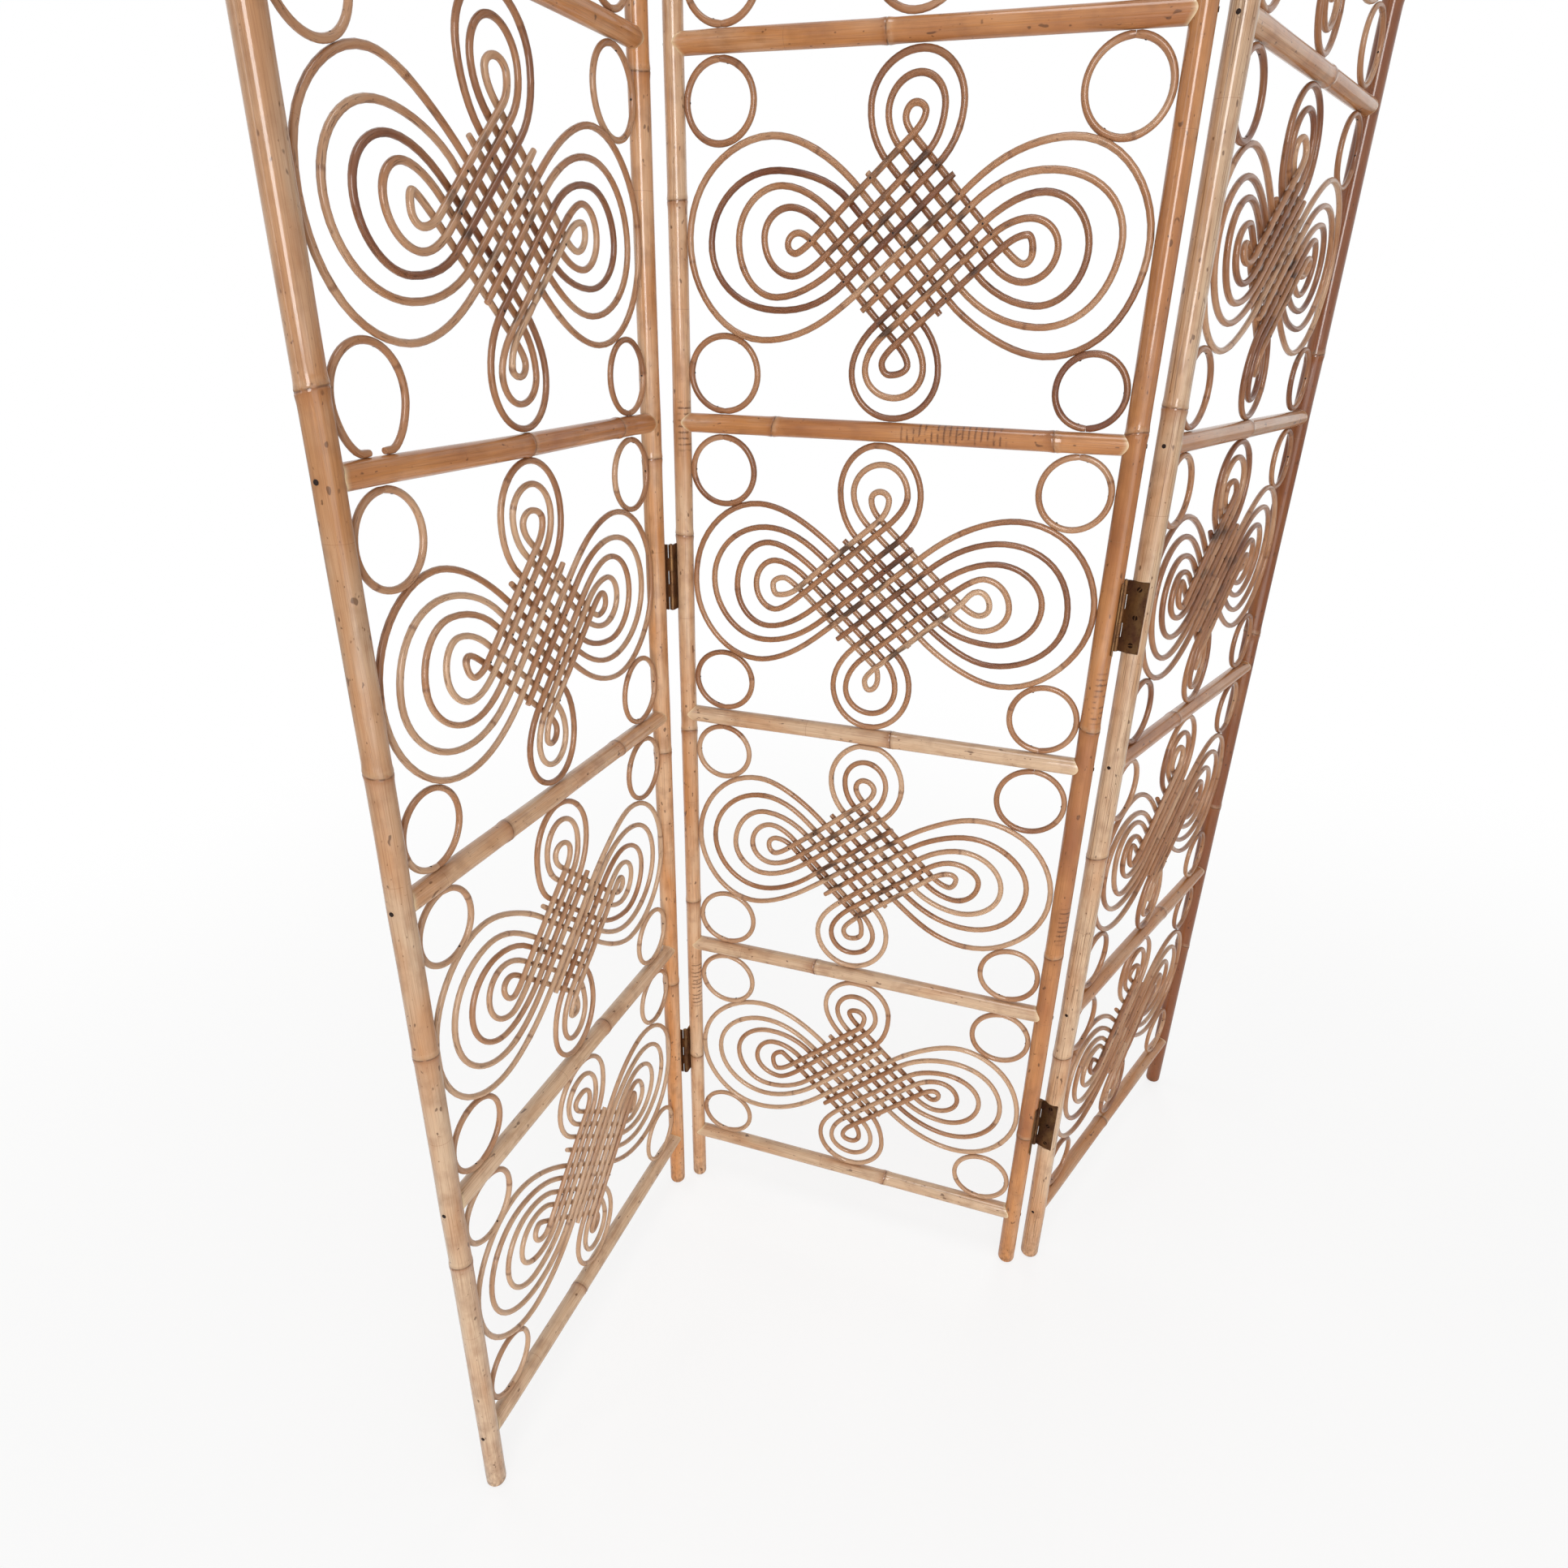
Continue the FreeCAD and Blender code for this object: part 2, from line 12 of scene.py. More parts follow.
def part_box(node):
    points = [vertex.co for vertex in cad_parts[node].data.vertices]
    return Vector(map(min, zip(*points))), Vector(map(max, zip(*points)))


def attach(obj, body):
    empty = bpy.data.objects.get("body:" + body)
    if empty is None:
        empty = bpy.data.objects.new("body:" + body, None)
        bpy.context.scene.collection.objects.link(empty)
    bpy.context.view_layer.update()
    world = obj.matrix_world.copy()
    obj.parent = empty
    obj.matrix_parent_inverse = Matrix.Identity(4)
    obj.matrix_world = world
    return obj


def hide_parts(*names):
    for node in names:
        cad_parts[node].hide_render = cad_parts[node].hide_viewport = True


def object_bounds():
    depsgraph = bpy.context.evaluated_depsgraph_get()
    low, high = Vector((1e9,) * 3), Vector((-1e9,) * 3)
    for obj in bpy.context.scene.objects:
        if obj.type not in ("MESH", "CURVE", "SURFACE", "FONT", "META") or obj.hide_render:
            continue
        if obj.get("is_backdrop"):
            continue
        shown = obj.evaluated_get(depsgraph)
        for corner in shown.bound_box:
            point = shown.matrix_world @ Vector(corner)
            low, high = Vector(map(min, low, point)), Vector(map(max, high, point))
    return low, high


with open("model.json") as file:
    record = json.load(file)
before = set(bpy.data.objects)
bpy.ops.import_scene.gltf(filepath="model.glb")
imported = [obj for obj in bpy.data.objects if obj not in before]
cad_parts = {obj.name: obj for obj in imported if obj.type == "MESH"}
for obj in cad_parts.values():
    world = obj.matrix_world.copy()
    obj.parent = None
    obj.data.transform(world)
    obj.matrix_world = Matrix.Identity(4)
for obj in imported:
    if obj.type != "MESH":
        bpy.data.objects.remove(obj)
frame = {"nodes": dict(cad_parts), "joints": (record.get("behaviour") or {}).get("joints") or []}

bl_info = {
    "name": "Rattan partition screen",
    "version": (1, 0, 0),
    "blender": (4, 5, 0),
    "location": "3D View > Sidebar > Screen",
    "description": "Dresses a folding screen with rattan poles, bent cane knots and rings, and brass hinges",
    "category": "Add Mesh",
}

CAD_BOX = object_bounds()
MM = 0.001
SEED = 1830
FULL_TURN = 2 * math.pi


def linear(hex_colour):
    """An sRGB hex colour as linear red, green and blue, with full alpha."""
    parts = [int(hex_colour[place:place + 2], 16) / 255 for place in (1, 3, 5)]
    return tuple(p / 12.92 if p <= 0.04045 else ((p + 0.055) / 1.055) ** 2.4 for p in parts) + (1.0,)


# The screen's panels: posts from left to right, their radii, and the joint at each side
POST_NAMES = {
    "left": ("left_outer_post", "left_inner_post"),
    "center": ("center_left_post", "center_right_post"),
    "right": ("right_inner_post", "right_outer_post"),
}
POST_RADII = {
    "left_outer_post": 11 * MM, "left_inner_post": 11 * MM, "center_left_post": 10 * MM,
    "center_right_post": 11 * MM, "right_inner_post": 12 * MM, "right_outer_post": 11 * MM,
}
SIDE_JOINTS = {
    "left_inner_post": "left_fold", "center_left_post": "left_fold",
    "center_right_post": "right_fold", "right_inner_post": "right_fold",
}
RAIL_RADIUS = 10 * MM
# The cane of the left panel is a little thinner than the rest
CANE_RADII = {"left": 2.95 * MM, "center": 3.25 * MM, "right": 3.25 * MM}
# Air between cane work and the post or rail that it touches
TOUCH_GAP = 0.1 * MM

# Each post: tone at its foot and at its top, from pale straw (0) to red brown (1); painted light and shade at
# the foot and at the top, a factor on the colour for how light falls on the post; nodes in bays up the post,
# rows of bark scratches in bays up the post, and how finely its skin has cracked
POST_GROWTH = {
    "left_outer_post": ((0.08, 0.36), (0.92, 0.68), (0.78, 1.55, 2.36, 3.17, 4.15), (), 0.2),
    "left_inner_post": ((0.39, 0.36), (1.20, 0.92), (0.84, 1.86, 2.89, 3.93), (), 0.1),
    "center_left_post": ((0.26, 0.06), (1.10, 0.90), (0.43, 1.20, 1.93, 2.64, 3.62, 4.40),
                         ((2.92, 3.06), (0.70, 0.90)), 0.1),
    "center_right_post": ((0.64, 0.66), (1.08, 0.80), (0.42, 1.27, 2.14, 3.03, 4.06),
                          ((2.17, 2.32), (1.34, 1.47)), 0.2),
    "right_inner_post": ((0.07, 0.12), (1.04, 0.74), (0.80, 1.66, 3.10, 4.12), (), 1.0),
    # The right outer post's dark tone is partly painted shade, for where it stands behind the other posts
    "right_outer_post": ((1.05, 1.0), (0.82, 0.66), (0.58, 1.34, 2.15, 3.22, 4.30), (), 0.3),
}
# The same for the rails, bottom to top: tone, node shares along the rail, scratched share, cracking
RAIL_GROWTH = {
    "left": ((-0.12, (0.40,), (), 0.3), (-0.04, (0.62,), (), 0.2), (0.12, (0.30, 0.78), (), 0.2),
             (0.64, (0.50, 0.86), (), 0.3), (0.45, (0.36,), (), 0.2), (0.50, (0.66,), (), 0.2)),
    "center": ((0.0, (0.62,), (), 0.5), (0.04, (0.37,), (), 0.2), (0.10, (0.545,), (), 0.2),
               (0.62, (0.215, 0.86), ((0.52, 0.75),), 0.2), (0.52, (0.44,), (), 0.2),
               (0.45, (0.30, 0.72), (), 0.2)),
    "right": ((0.40, (0.45,), (), 0.3), (0.44, (0.64,), (), 0.2), (0.50, (0.38,), (), 0.2),
              (0.46, (0.50,), (), 0.4), (0.50, (0.58,), (), 0.2), (0.46, (0.34,), (), 0.2)),
}
# Painted light and shade on the rails of each panel: a factor on their colour for how light falls on the
# panel
RAIL_PAINTED_SHADING = {"left": 1.0, "center": 0.95, "right": 0.90}
# Which way the scratches face round the pole, and how far to each side they reach, in radians
POST_BARK_FACE = (-0.8, 0.95)
RAIL_BARK_FACE = (2.4, 1.6)

# Each knot, bottom to top: tone of its cane, how much it was scorched in bending, its lean in degrees, and
# how tall its lattice was drawn
KNOT_GROWTH = {
    "left": ((0.08, 0.15, 0.8, 1.05), (0.20, 0.30, -1.0, 1.0), (0.34, 0.30, 0.6, 1.05),
             (0.38, 0.55, -0.8, 1.06), (0.42, 0.40, 0.5, 1.05)),
    "center": ((0.18, 0.35, 0.6, 1.07), (0.34, 0.95, -1.8, 1.03), (0.48, 0.85, 0.3, 1.02),
               (0.60, 0.80, -1.6, 1.09), (0.50, 0.55, -0.6, 1.05)),
    "right": ((0.46, 0.35, 0.9, 1.05), (0.50, 0.40, -0.7, 1.05), (0.62, 0.55, 0.4, 1.05),
              (0.66, 0.60, -0.9, 1.05), (0.56, 0.45, 0.6, 1.05)),
}
# Knots whose lattice sits off the middle of its bay, across the panel
KNOT_SHIFTS = {("center", 1): -11 * MM, ("center", 2): -9 * MM}
# Canes that are darker or paler than the rest of their knot: three circuits, two open canes, the side circuit
DARK_CANES = {
    ("center", 3): (0.0, 0.15, 0.0, 0.5, 0.0, -0.1),
    ("center", 2): (-0.1, 0.0, 0.1, 0.1, 0.2, 0.0),
    ("left", 3): (-0.1, 0.06, 0.08, -0.1, 0.0, -0.1),
    ("left", 2): (0.0, -0.1, 0.05, -0.2, 0.1, 0.05),
}
# A ring whose ends have sprung open: panel, bay from the floor, side, upper or lower, and the gap
SPRUNG_RING = ("left", 3, -1, -1)
SPRUNG_GAP = 15 * MM

# Cane work, as shares of the room inside a bay, from the smallest loop to the largest
SIDE_LOOPS = 5
END_LOOPS = 3
STRANDS = SIDE_LOOPS + END_LOOPS + 1
SIDE_HEIGHT_SHARE = 0.262
SIDE_REACH_SHARES = (0.21, 0.39, 0.595, 0.82, 1.0)
SIDE_HEIGHT_SHARES = (0.12, 0.305, 0.505, 0.725, 1.0)
SIDE_BELLY_SHARES = (0.65, 0.46, 0.43, 0.37, 0.37)
END_WIDTH_SHARE = 0.13
END_REACH_SHARES = (0.395, 0.73, 1.0)
END_WIDTH_SHARES = (0.24, 0.62, 1.0)
END_BELLY_SHARES = (0.66, 0.47, 0.36)
# Where the ends of the three circuits and of the side circuit meet, along their strands
BUTT_SHARES = (0.30, 0.72, 0.36, 0.50)


# Settings

def size(name, description, millimetres):
    """A length that a user may change."""
    return FloatProperty(name=name, description=description, default=millimetres * MM, unit="LENGTH")


def tint(name, description, hex_colour):
    """A colour that a user may change."""
    return FloatVectorProperty(name=name, description=description, default=linear(hex_colour),
                               subtype="COLOR", size=4, min=0, max=1)


def angle(name, description, degrees):
    """An angle that a user may change."""
    return FloatProperty(name=name, description=description, default=math.radians(degrees), subtype="ANGLE")


class PoleSettings(PropertyGroup):
    """Sizes and colours of the rattan posts and rails."""
    sides: IntProperty(name="Sides", description="Facets round a pole", default=40, min=12)
    step: size("Step", "Distance between rings of points", 8)
    end_round: size("End round", "Rounding of a post's ends", 6)
    node_rise: size("Node rise", "Swell at a node", 0.7)
    node_line: size("Node line", "Depth of the scar line", 0.4)
    wave: size("Wave", "Wander of a pole off a straight line", 0.6)
    cope_gap: size("Cope gap", "Gap between rail end and post", 0.2)
    straw: tint("Straw", "Palest skin", "#D2B292")
    tan: tint("Tan", "Usual skin", "#BF8350")
    russet: tint("Russet", "Darkest skin", "#8F5230")


class CaneSettings(PropertyGroup):
    """Sizes and colours of the bent cane in knots and rings."""
    sides: IntProperty(name="Sides", description="Facets round a cane", default=12, min=6)
    strand_gap: size("Strand gap", "Gap between crossing strands", 0.3)
    butt_gap: size("Butt gap", "Gap where two ends meet", 0.15)
    cut_end: size("Cut end", "How far a cut end stands out of the lattice", 6)
    lattice_width: size("Lattice width", "Across the knot's lattice", 185)
    lattice_height: size("Lattice height", "Up the knot's lattice", 161)
    strand_spread: FloatProperty(name="Strand spread", default=0.11,
                                 description="Uneven spacing of strands, as a share of it")
    waver: size("Waver", "Unevenness of hand bending", 1.0)
    pale: tint("Pale", "Palest cane", "#C29E7E")
    brown: tint("Brown", "Usual cane", "#A2724E")
    dark: tint("Dark", "Darkest cane", "#6E4028")
    scorch: tint("Scorch", "Flame marks", "#38200F")


class HingeSettings(PropertyGroup):
    """Sizes and colours of the butt hinges."""
    height: size("Height", "Height of a hinge", 76)
    leaf_width: size("Leaf width", "From the pin to a leaf's edge", 24)
    leaf: size("Leaf", "Thickness of a leaf", 1.6)
    pin: size("Pin", "Radius of the pin", 1.5)
    seat_gap: size("Seat gap", "Gap behind a leaf", 0.1)
    knuckles: IntProperty(name="Knuckles", description="Knuckles of both leaves together", default=5)
    screws: IntProperty(name="Screws", description="Screws in a leaf", default=3)
    brass: tint("Brass", "Rubbed brass", "#80603F")
    patina: tint("Patina", "Darkened brass", "#5A3C2C")
    tarnish: tint("Tarnish", "Blackened brass of the screws", "#2A1A12")


class StageSettings(PropertyGroup):
    """The camera and the floor."""
    lens: FloatProperty(name="Lens", description="Focal length for a 36 mm square picture", default=22.889)
    camera: FloatVectorProperty(name="Camera", description="Where the camera stands", subtype="TRANSLATION",
                                default=(0.15929, -1.04681, 1.21539))
    yaw: angle("Yaw", "Turn to the left", 18.233)
    pitch: angle("Pitch", "Look down", 25.05)
    roll: angle("Roll", "Lean", 1.162)
    floor: tint("Floor", "Floor colour", "#F6F6F5")


# Small helpers

def add(tree, kind, links=None, **settings):
    """Add a node; settings are its properties, links its inputs, each a value or another node's output."""
    node = tree.nodes.new(kind)
    for name, value in settings.items():
        setattr(node, name, value)
    for key, value in (links or {}).items():
        if isinstance(value, bpy.types.NodeSocket):
            tree.links.new(value, node.inputs[key])
        else:
            node.inputs[key].default_value = value
    return node


def waver(rng, along, wavelength):
    """A smooth random line over a length, between -1 and 1."""
    place = (along - along.min()) / wavelength
    marks = rng.uniform(-1, 1, int(place.max()) + 3)
    base = place.astype(int)
    share = place - base
    share = share * share * (3 - 2 * share)
    return marks[base] * (1 - share) + marks[base + 1] * share


def store(mesh, **values):
    """Keep one number, or one vector, for each point of a mesh."""
    for name, value in values.items():
        vector = np.ndim(value) == 2
        layer = mesh.attributes.new(name, "FLOAT_VECTOR" if vector else "FLOAT", "POINT")
        flat = np.ascontiguousarray(value, np.float32).ravel()
        layer.data.foreach_set("vector" if vector else "value", flat)


def tube_mesh(name, rings):
    """A closed mesh through rings of points, with a fan over each end."""
    count, sides = rings.shape[:2]
    index = np.arange(count * sides).reshape(count, sides)
    following = np.roll(index, -1, axis=1)
    faces = np.stack([index[:-1], following[:-1], following[1:], index[1:]], axis=-1)
    faces = faces.reshape(-1, 4).tolist()
    points = np.concatenate([rings.reshape(-1, 3), rings[:1].mean(axis=1), rings[-1:].mean(axis=1)])
    first, last = count * sides, count * sides + 1
    faces += [(first, b, a) for a, b in zip(index[0], following[0])]
    faces += [(last, a, b) for a, b in zip(index[-1], following[-1])]
    mesh = bpy.data.meshes.new(name)
    mesh.from_pydata(points.tolist(), [], [tuple(int(i) for i in face) for face in faces])
    return mesh


def point_outwards(mesh, sharp_deg):
    """Turn the faces outwards, shade them smooth and keep edges above an angle sharp."""
    work = bmesh.new()
    work.from_mesh(mesh)
    bmesh.ops.recalc_face_normals(work, faces=work.faces)
    work.to_mesh(mesh)
    work.free()
    mesh.shade_smooth()
    mesh.set_sharp_from_angle(angle=math.radians(sharp_deg))


def finish_piece(name, mesh, body, nodes):
    """Put a finished mesh in the scene, on the body that carries it, for the nodes that it stands for."""
    piece = bpy.data.objects.new(name, mesh)
    bpy.context.scene.collection.objects.link(piece)
    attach(piece, body)
    if nodes:
        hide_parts(*nodes)


def grown(name, mesh, tree, inputs):
    """Run a mesh through a geometry tree and return the result as a plain mesh."""
    source = bpy.data.objects.new(name, mesh)
    bpy.context.scene.collection.objects.link(source)
    modifier = source.modifiers.new(tree.name, "NODES")
    modifier.node_group = tree
    sockets = {item.name: item.identifier for item in tree.interface.items_tree if item.in_out == "INPUT"}
    for key, value in inputs.items():
        modifier[sockets[key]] = value
    graph = bpy.context.evaluated_depsgraph_get()
    result = bpy.data.meshes.new_from_object(source.evaluated_get(graph), preserve_all_data_layers=True,
                                             depsgraph=graph)
    source.modifiers.remove(modifier)
    bpy.data.objects.remove(source)
    result.name = name
    if not result.polygons:
        raise RuntimeError(f"the tree {tree.name} gave no faces for {name}")
    return result


# The panels' own axes

def middle_of(node):
    """The middle of a node's box."""
    low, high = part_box(node)
    return (low + high) / 2


class PanelAxes:
    """One panel's own axes: across to the right, deep to its back, up, from the floor between its posts."""

    def __init__(self, name):
        self.name = name
        self.body = f"{name}_panel"
        self.posts = POST_NAMES[name]
        ends = [np.array(middle_of(post)[:2]) for post in self.posts]
        self.half = np.linalg.norm(ends[1] - ends[0]) / 2
        self.middle = np.append((ends[0] + ends[1]) / 2, 0.0)
        along = (ends[1] - ends[0]) / (2 * self.half)
        self.across = np.array([along[0], along[1], 0.0])
        self.deep = np.array([-along[1], along[0], 0.0])
        self.number = 1 + sorted(POST_NAMES).index(name)
        self.rails = sorted(n for n in frame["nodes"] if n.startswith(f"{name}_rail_") and n[-1].isdigit())
        self.levels = [middle_of(rail).z for rail in self.rails]
        self.bay = (self.levels[-1] - self.levels[0]) / (len(self.levels) - 1)
        self.radii = [POST_RADII[post] for post in self.posts]

    def place(self, points):
        """Points in the panel's own axes, put in the frame."""
        points = np.asarray(points, float)
        flat = points[..., :1] * self.across + points[..., 1:2] * self.deep
        return self.middle + flat + points[..., 2:] * np.array([0.0, 0.0, 1.0])

    def heading(self, directions):
        """Directions in the panel's own axes, turned into the frame."""
        return self.place(directions) - self.middle

    def pin(self, joint_name):
        """The hinge pin's place in the panel's own axes."""
        joint = next(j for j in frame["joints"] if j["name"] == joint_name)
        from_middle = np.array(joint["pos_m"][:2]) - self.middle[:2]
        return np.array([from_middle @ self.across[:2], from_middle @ self.deep[:2]])


# Pins whose points are further apart than this belong to different hinges
HINGE_SPACING = 100 * MM


def hinge_levels():
    """The heights of the hinges' middles, read from the pins."""
    pins = frame["nodes"]["center_left_hinge_pins"].data
    heights = np.array([v.co.z for v in pins.vertices])
    heights.sort()
    breaks = np.flatnonzero(np.diff(heights) > HINGE_SPACING) + 1
    return [(group.min() + group.max()) / 2 for group in np.split(heights, breaks)]


PANELS = {name: PanelAxes(name) for name in POST_NAMES}
HINGE_LEVELS = hinge_levels()


# Poles

# Half the length of a node's swell, half the width of its scar line, and rings of points about a node
NODE_SWELL = 5 * MM
NODE_SCAR = 0.8 * MM
NODE_RINGS = np.append(np.arange(-10, 10.1, 2), [-3, -1.6, -0.8, 0, 0.8, 1.6, 3]) * MM
# How far a node leans round the pole, as shares of the pole's radius
NODE_SLANT = (0.08, 0.3)
# Further from a node than this, its marks are gone
NODE_FAR = 0.1
# Unevenness of a pole: changes of its thickness, how far apart they are in metres, and how oval it is
POLE_SWELL = 0.012
POLE_SWELL_LENGTH = 0.12
POLE_OVAL = 0.008
# How much the tone of one internode differs from the next
TONE_DRIFT = 0.05
# Fading of bark scratches along and round the pole
BARK_FADE = 4 * MM
BARK_SIDE_FADE = 0.2
# Ranges of random draws: a turn in radians, and the start of a pole's grain in metres
ANY_TURN = (0, 6)
ANY_GRAIN = (0, 50)
# Length of a post's or rail's bends, and how far from a rail a post keeps straight
POST_BEND = 0.3
RAIL_BEND = 0.2
POST_HELD = 60 * MM
# Scuffs fade over this height from the foot
FOOT_WEAR = 0.03
# A hinge's seat: how sharp its ends are cut, and how near to its flat the skin is gone
SEAT_SLIVER = 0.02 * MM
SEAT_SKIN = 0.01 * MM
# A rail's coped end: how far it draws the rail's points, in how many steps, and the pale lip of the cut
COPE_FADE = 30 * MM
COPE_STEPS = COPE_FADE * np.linspace(0, 1, 12) ** 1.5
COPE_LIP = 3 * MM
END_ROUND_STEPS = 7
POLE_SHARP_DEG = 50
# The seeds of the rails start here, by panel
RAIL_SEEDS = 100


def node_shape(distance, settings):
    """A node's swell with the scar line along its crest."""
    swell = settings.node_rise * np.exp(-(distance / NODE_SWELL) ** 2)
    return swell - settings.node_line * np.exp(-(distance / NODE_SCAR) ** 2)


def stations(length, nodes, marks, step):
    """Distances along a pole for its rings of points, closer together at nodes and marks."""
    places = list(np.linspace(0, length, int(length / step)))
    for node in nodes:
        places += list(node + NODE_RINGS)
    places += list(marks)
    inside = [place for place in places if 0 <= place <= length]
    return np.unique(np.round(inside, 6))


def pole_skin(rng, along, angles, radius, nodes, growth, settings):
    """The radius of a pole over its whole skin, and what its finish needs to know there."""
    tones, painted_shading, bark, crack, (face, spread) = growth
    rows = along[:, None]
    thick = radius * (1 + POLE_SWELL * waver(rng, along, POLE_SWELL_LENGTH))[:, None]
    thick = thick * (1 + POLE_OVAL * np.cos(2 * angles[None, :] + rng.uniform(*ANY_TURN)))
    nearest = np.full((len(along), len(angles)), NODE_FAR)
    passed = np.zeros((len(along), len(angles)), int)
    for node in nodes:
        slant = rng.uniform(*NODE_SLANT) * radius * np.cos(angles - rng.uniform(*ANY_TURN))
        distance = rows - node - slant[None, :]
        thick = thick + node_shape(distance, settings)
        nearest = np.where(np.abs(distance) < np.abs(nearest), distance, nearest)
        passed += distance > 0
    shades = np.linspace(*tones, len(nodes) + 1)
    shades = shades + rng.uniform(-TONE_DRIFT, TONE_DRIFT, len(shades))
    scratched = np.zeros(len(along))
    for low, high in bark:
        inside = np.minimum(along - low, high - along) / BARK_FADE + 1
        scratched = np.maximum(scratched, np.clip(inside, 0, 1))
    facing = np.clip((np.cos(angles - face) - math.cos(spread)) / BARK_SIDE_FADE, 0, 1)
    grain = np.stack(np.broadcast_arrays(radius * np.cos(angles)[None, :], radius * np.sin(angles)[None, :],
                                         rows + rng.uniform(*ANY_GRAIN)), axis=-1)
    skin = {
        "grain": grain,
        "node": nearest,
        "tone": shades[passed],
        "bark": scratched[:, None] * facing[None, :],
        "crack": np.full(nearest.shape, crack),
        # depth is painted light and shade: a factor on the colour along the pole, from foot to top, for how
        # light falls on it
        "depth": np.broadcast_to(np.interp(rows, (0, along[-1]), painted_shading), nearest.shape),
    }
    return thick, skin


def skin_with_ends(skin):
    """Add the two end points of the mesh to each layer of the skin."""
    layers = {}
    for name, value in skin.items():
        flat = value.reshape(-1, 3) if value.ndim == 3 else value.ravel()
        ends = np.stack([value[0].mean(axis=0), value[-1].mean(axis=0)])
        layers[name] = np.concatenate([flat, ends])
    return layers


def rounded_end(along, length, round_size, radius):
    """How far the ends of a post draw in."""
    from_end = np.minimum(along, length - along)
    deep = np.clip(round_size - from_end, 0, round_size)
    return (radius - round_size + np.sqrt(round_size ** 2 - deep ** 2)) / radius


def pole_angles(settings):
    """Angles round a pole for the points of a ring."""
    return np.linspace(0, FULL_TURN, settings.sides, endpoint=False)


def bent(rng, along, held, length, settings):
    """How far a pole wanders off a straight line at each ring."""
    return (held * settings.wave * waver(rng, along, length))[:, None]


def finish_pole(panel, name, points, skin, material):
    """Skin a pole over its rings of points and put it in the scene."""
    mesh = tube_mesh(f"{name}_pole", panel.place(points))
    store(mesh, **skin_with_ends(skin))
    mesh.materials.append(material)
    point_outwards(mesh, POLE_SHARP_DEG)
    finish_piece(mesh.name, mesh, panel.body, [name])


def make_post(panel, side, settings, hinge, material):
    """One post with its nodes, rounded ends and, beside a hinge, the flats that its leaves lie in."""
    name = panel.posts[side > 0]
    radius = POST_RADII[name]
    tones, painted_shading, node_bays, bark_bays, crack = POST_GROWTH[name]
    rng = np.random.default_rng(SEED + sorted(POST_RADII).index(name))
    low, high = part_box(name)
    length = high.z - low.z
    foot = panel.levels[0] - low.z
    nodes = [foot + share * panel.bay for share in node_bays]
    bark = [(foot + a * panel.bay, foot + b * panel.bay) for a, b in bark_bays]
    post_across = side * panel.half
    seat_edges = []
    angles = pole_angles(settings)
    flat = None
    if name in SIDE_JOINTS:
        half = hinge.height / 2 + hinge.seat_gap
        seat_edges = [level + sign * (half + nudge) for level in HINGE_LEVELS for sign in (-1, 1)
                      for nudge in (-SEAT_SLIVER, SEAT_SLIVER)]
        pin = panel.pin(SIDE_JOINTS[name])
        flat = abs(pin[0] - post_across) - hinge.pin - hinge.leaf - hinge.seat_gap
        chord = math.acos(flat / radius)
        outer = 0 if side > 0 else math.pi
        for corner in (outer - chord, outer + chord):
            away = np.abs(np.angle(np.exp(1j * (angles - corner))))
            angles[np.argmin(away)] = corner % FULL_TURN
        angles.sort()
    round_steps = settings.end_round * (1 - np.cos(np.linspace(0, math.pi / 2, END_ROUND_STEPS)))
    marks = seat_edges + list(round_steps) + list(length - round_steps)
    along = stations(length, nodes, marks, settings.step)
    growth = (tones, painted_shading, bark, crack, POST_BARK_FACE)
    thick, skin = pole_skin(rng, along, angles, radius, nodes, growth, settings)
    thick = thick * rounded_end(along, length, settings.end_round, radius)[:, None]
    from_rail = np.abs(along[:, None] + low.z - np.array(panel.levels)).min(axis=1)
    held = np.clip(from_rail / POST_HELD, 0, 1)
    x = thick * np.cos(angles) + bent(rng, along, held, POST_BEND, settings)
    y = thick * np.sin(angles) + bent(rng, along, held, POST_BEND, settings)
    if flat is not None:
        seated = np.zeros(len(along), bool)
        for level in HINGE_LEVELS:
            seated |= np.abs(along - level) < half
        cut = np.minimum(x * side, flat) * side
        x = np.where(seated[:, None], cut, x)
        skin["cut"] = (seated[:, None] & (x * side > flat - SEAT_SKIN)).astype(float)
    else:
        skin["cut"] = np.zeros_like(x)
    skin["wear"] = np.broadcast_to(np.exp(-along / FOOT_WEAR)[:, None], x.shape)
    z = np.broadcast_to(along[:, None] + low.z, x.shape)
    points = np.stack([post_across + x, y, z], axis=-1)
    finish_pole(panel, name, points, skin, material)


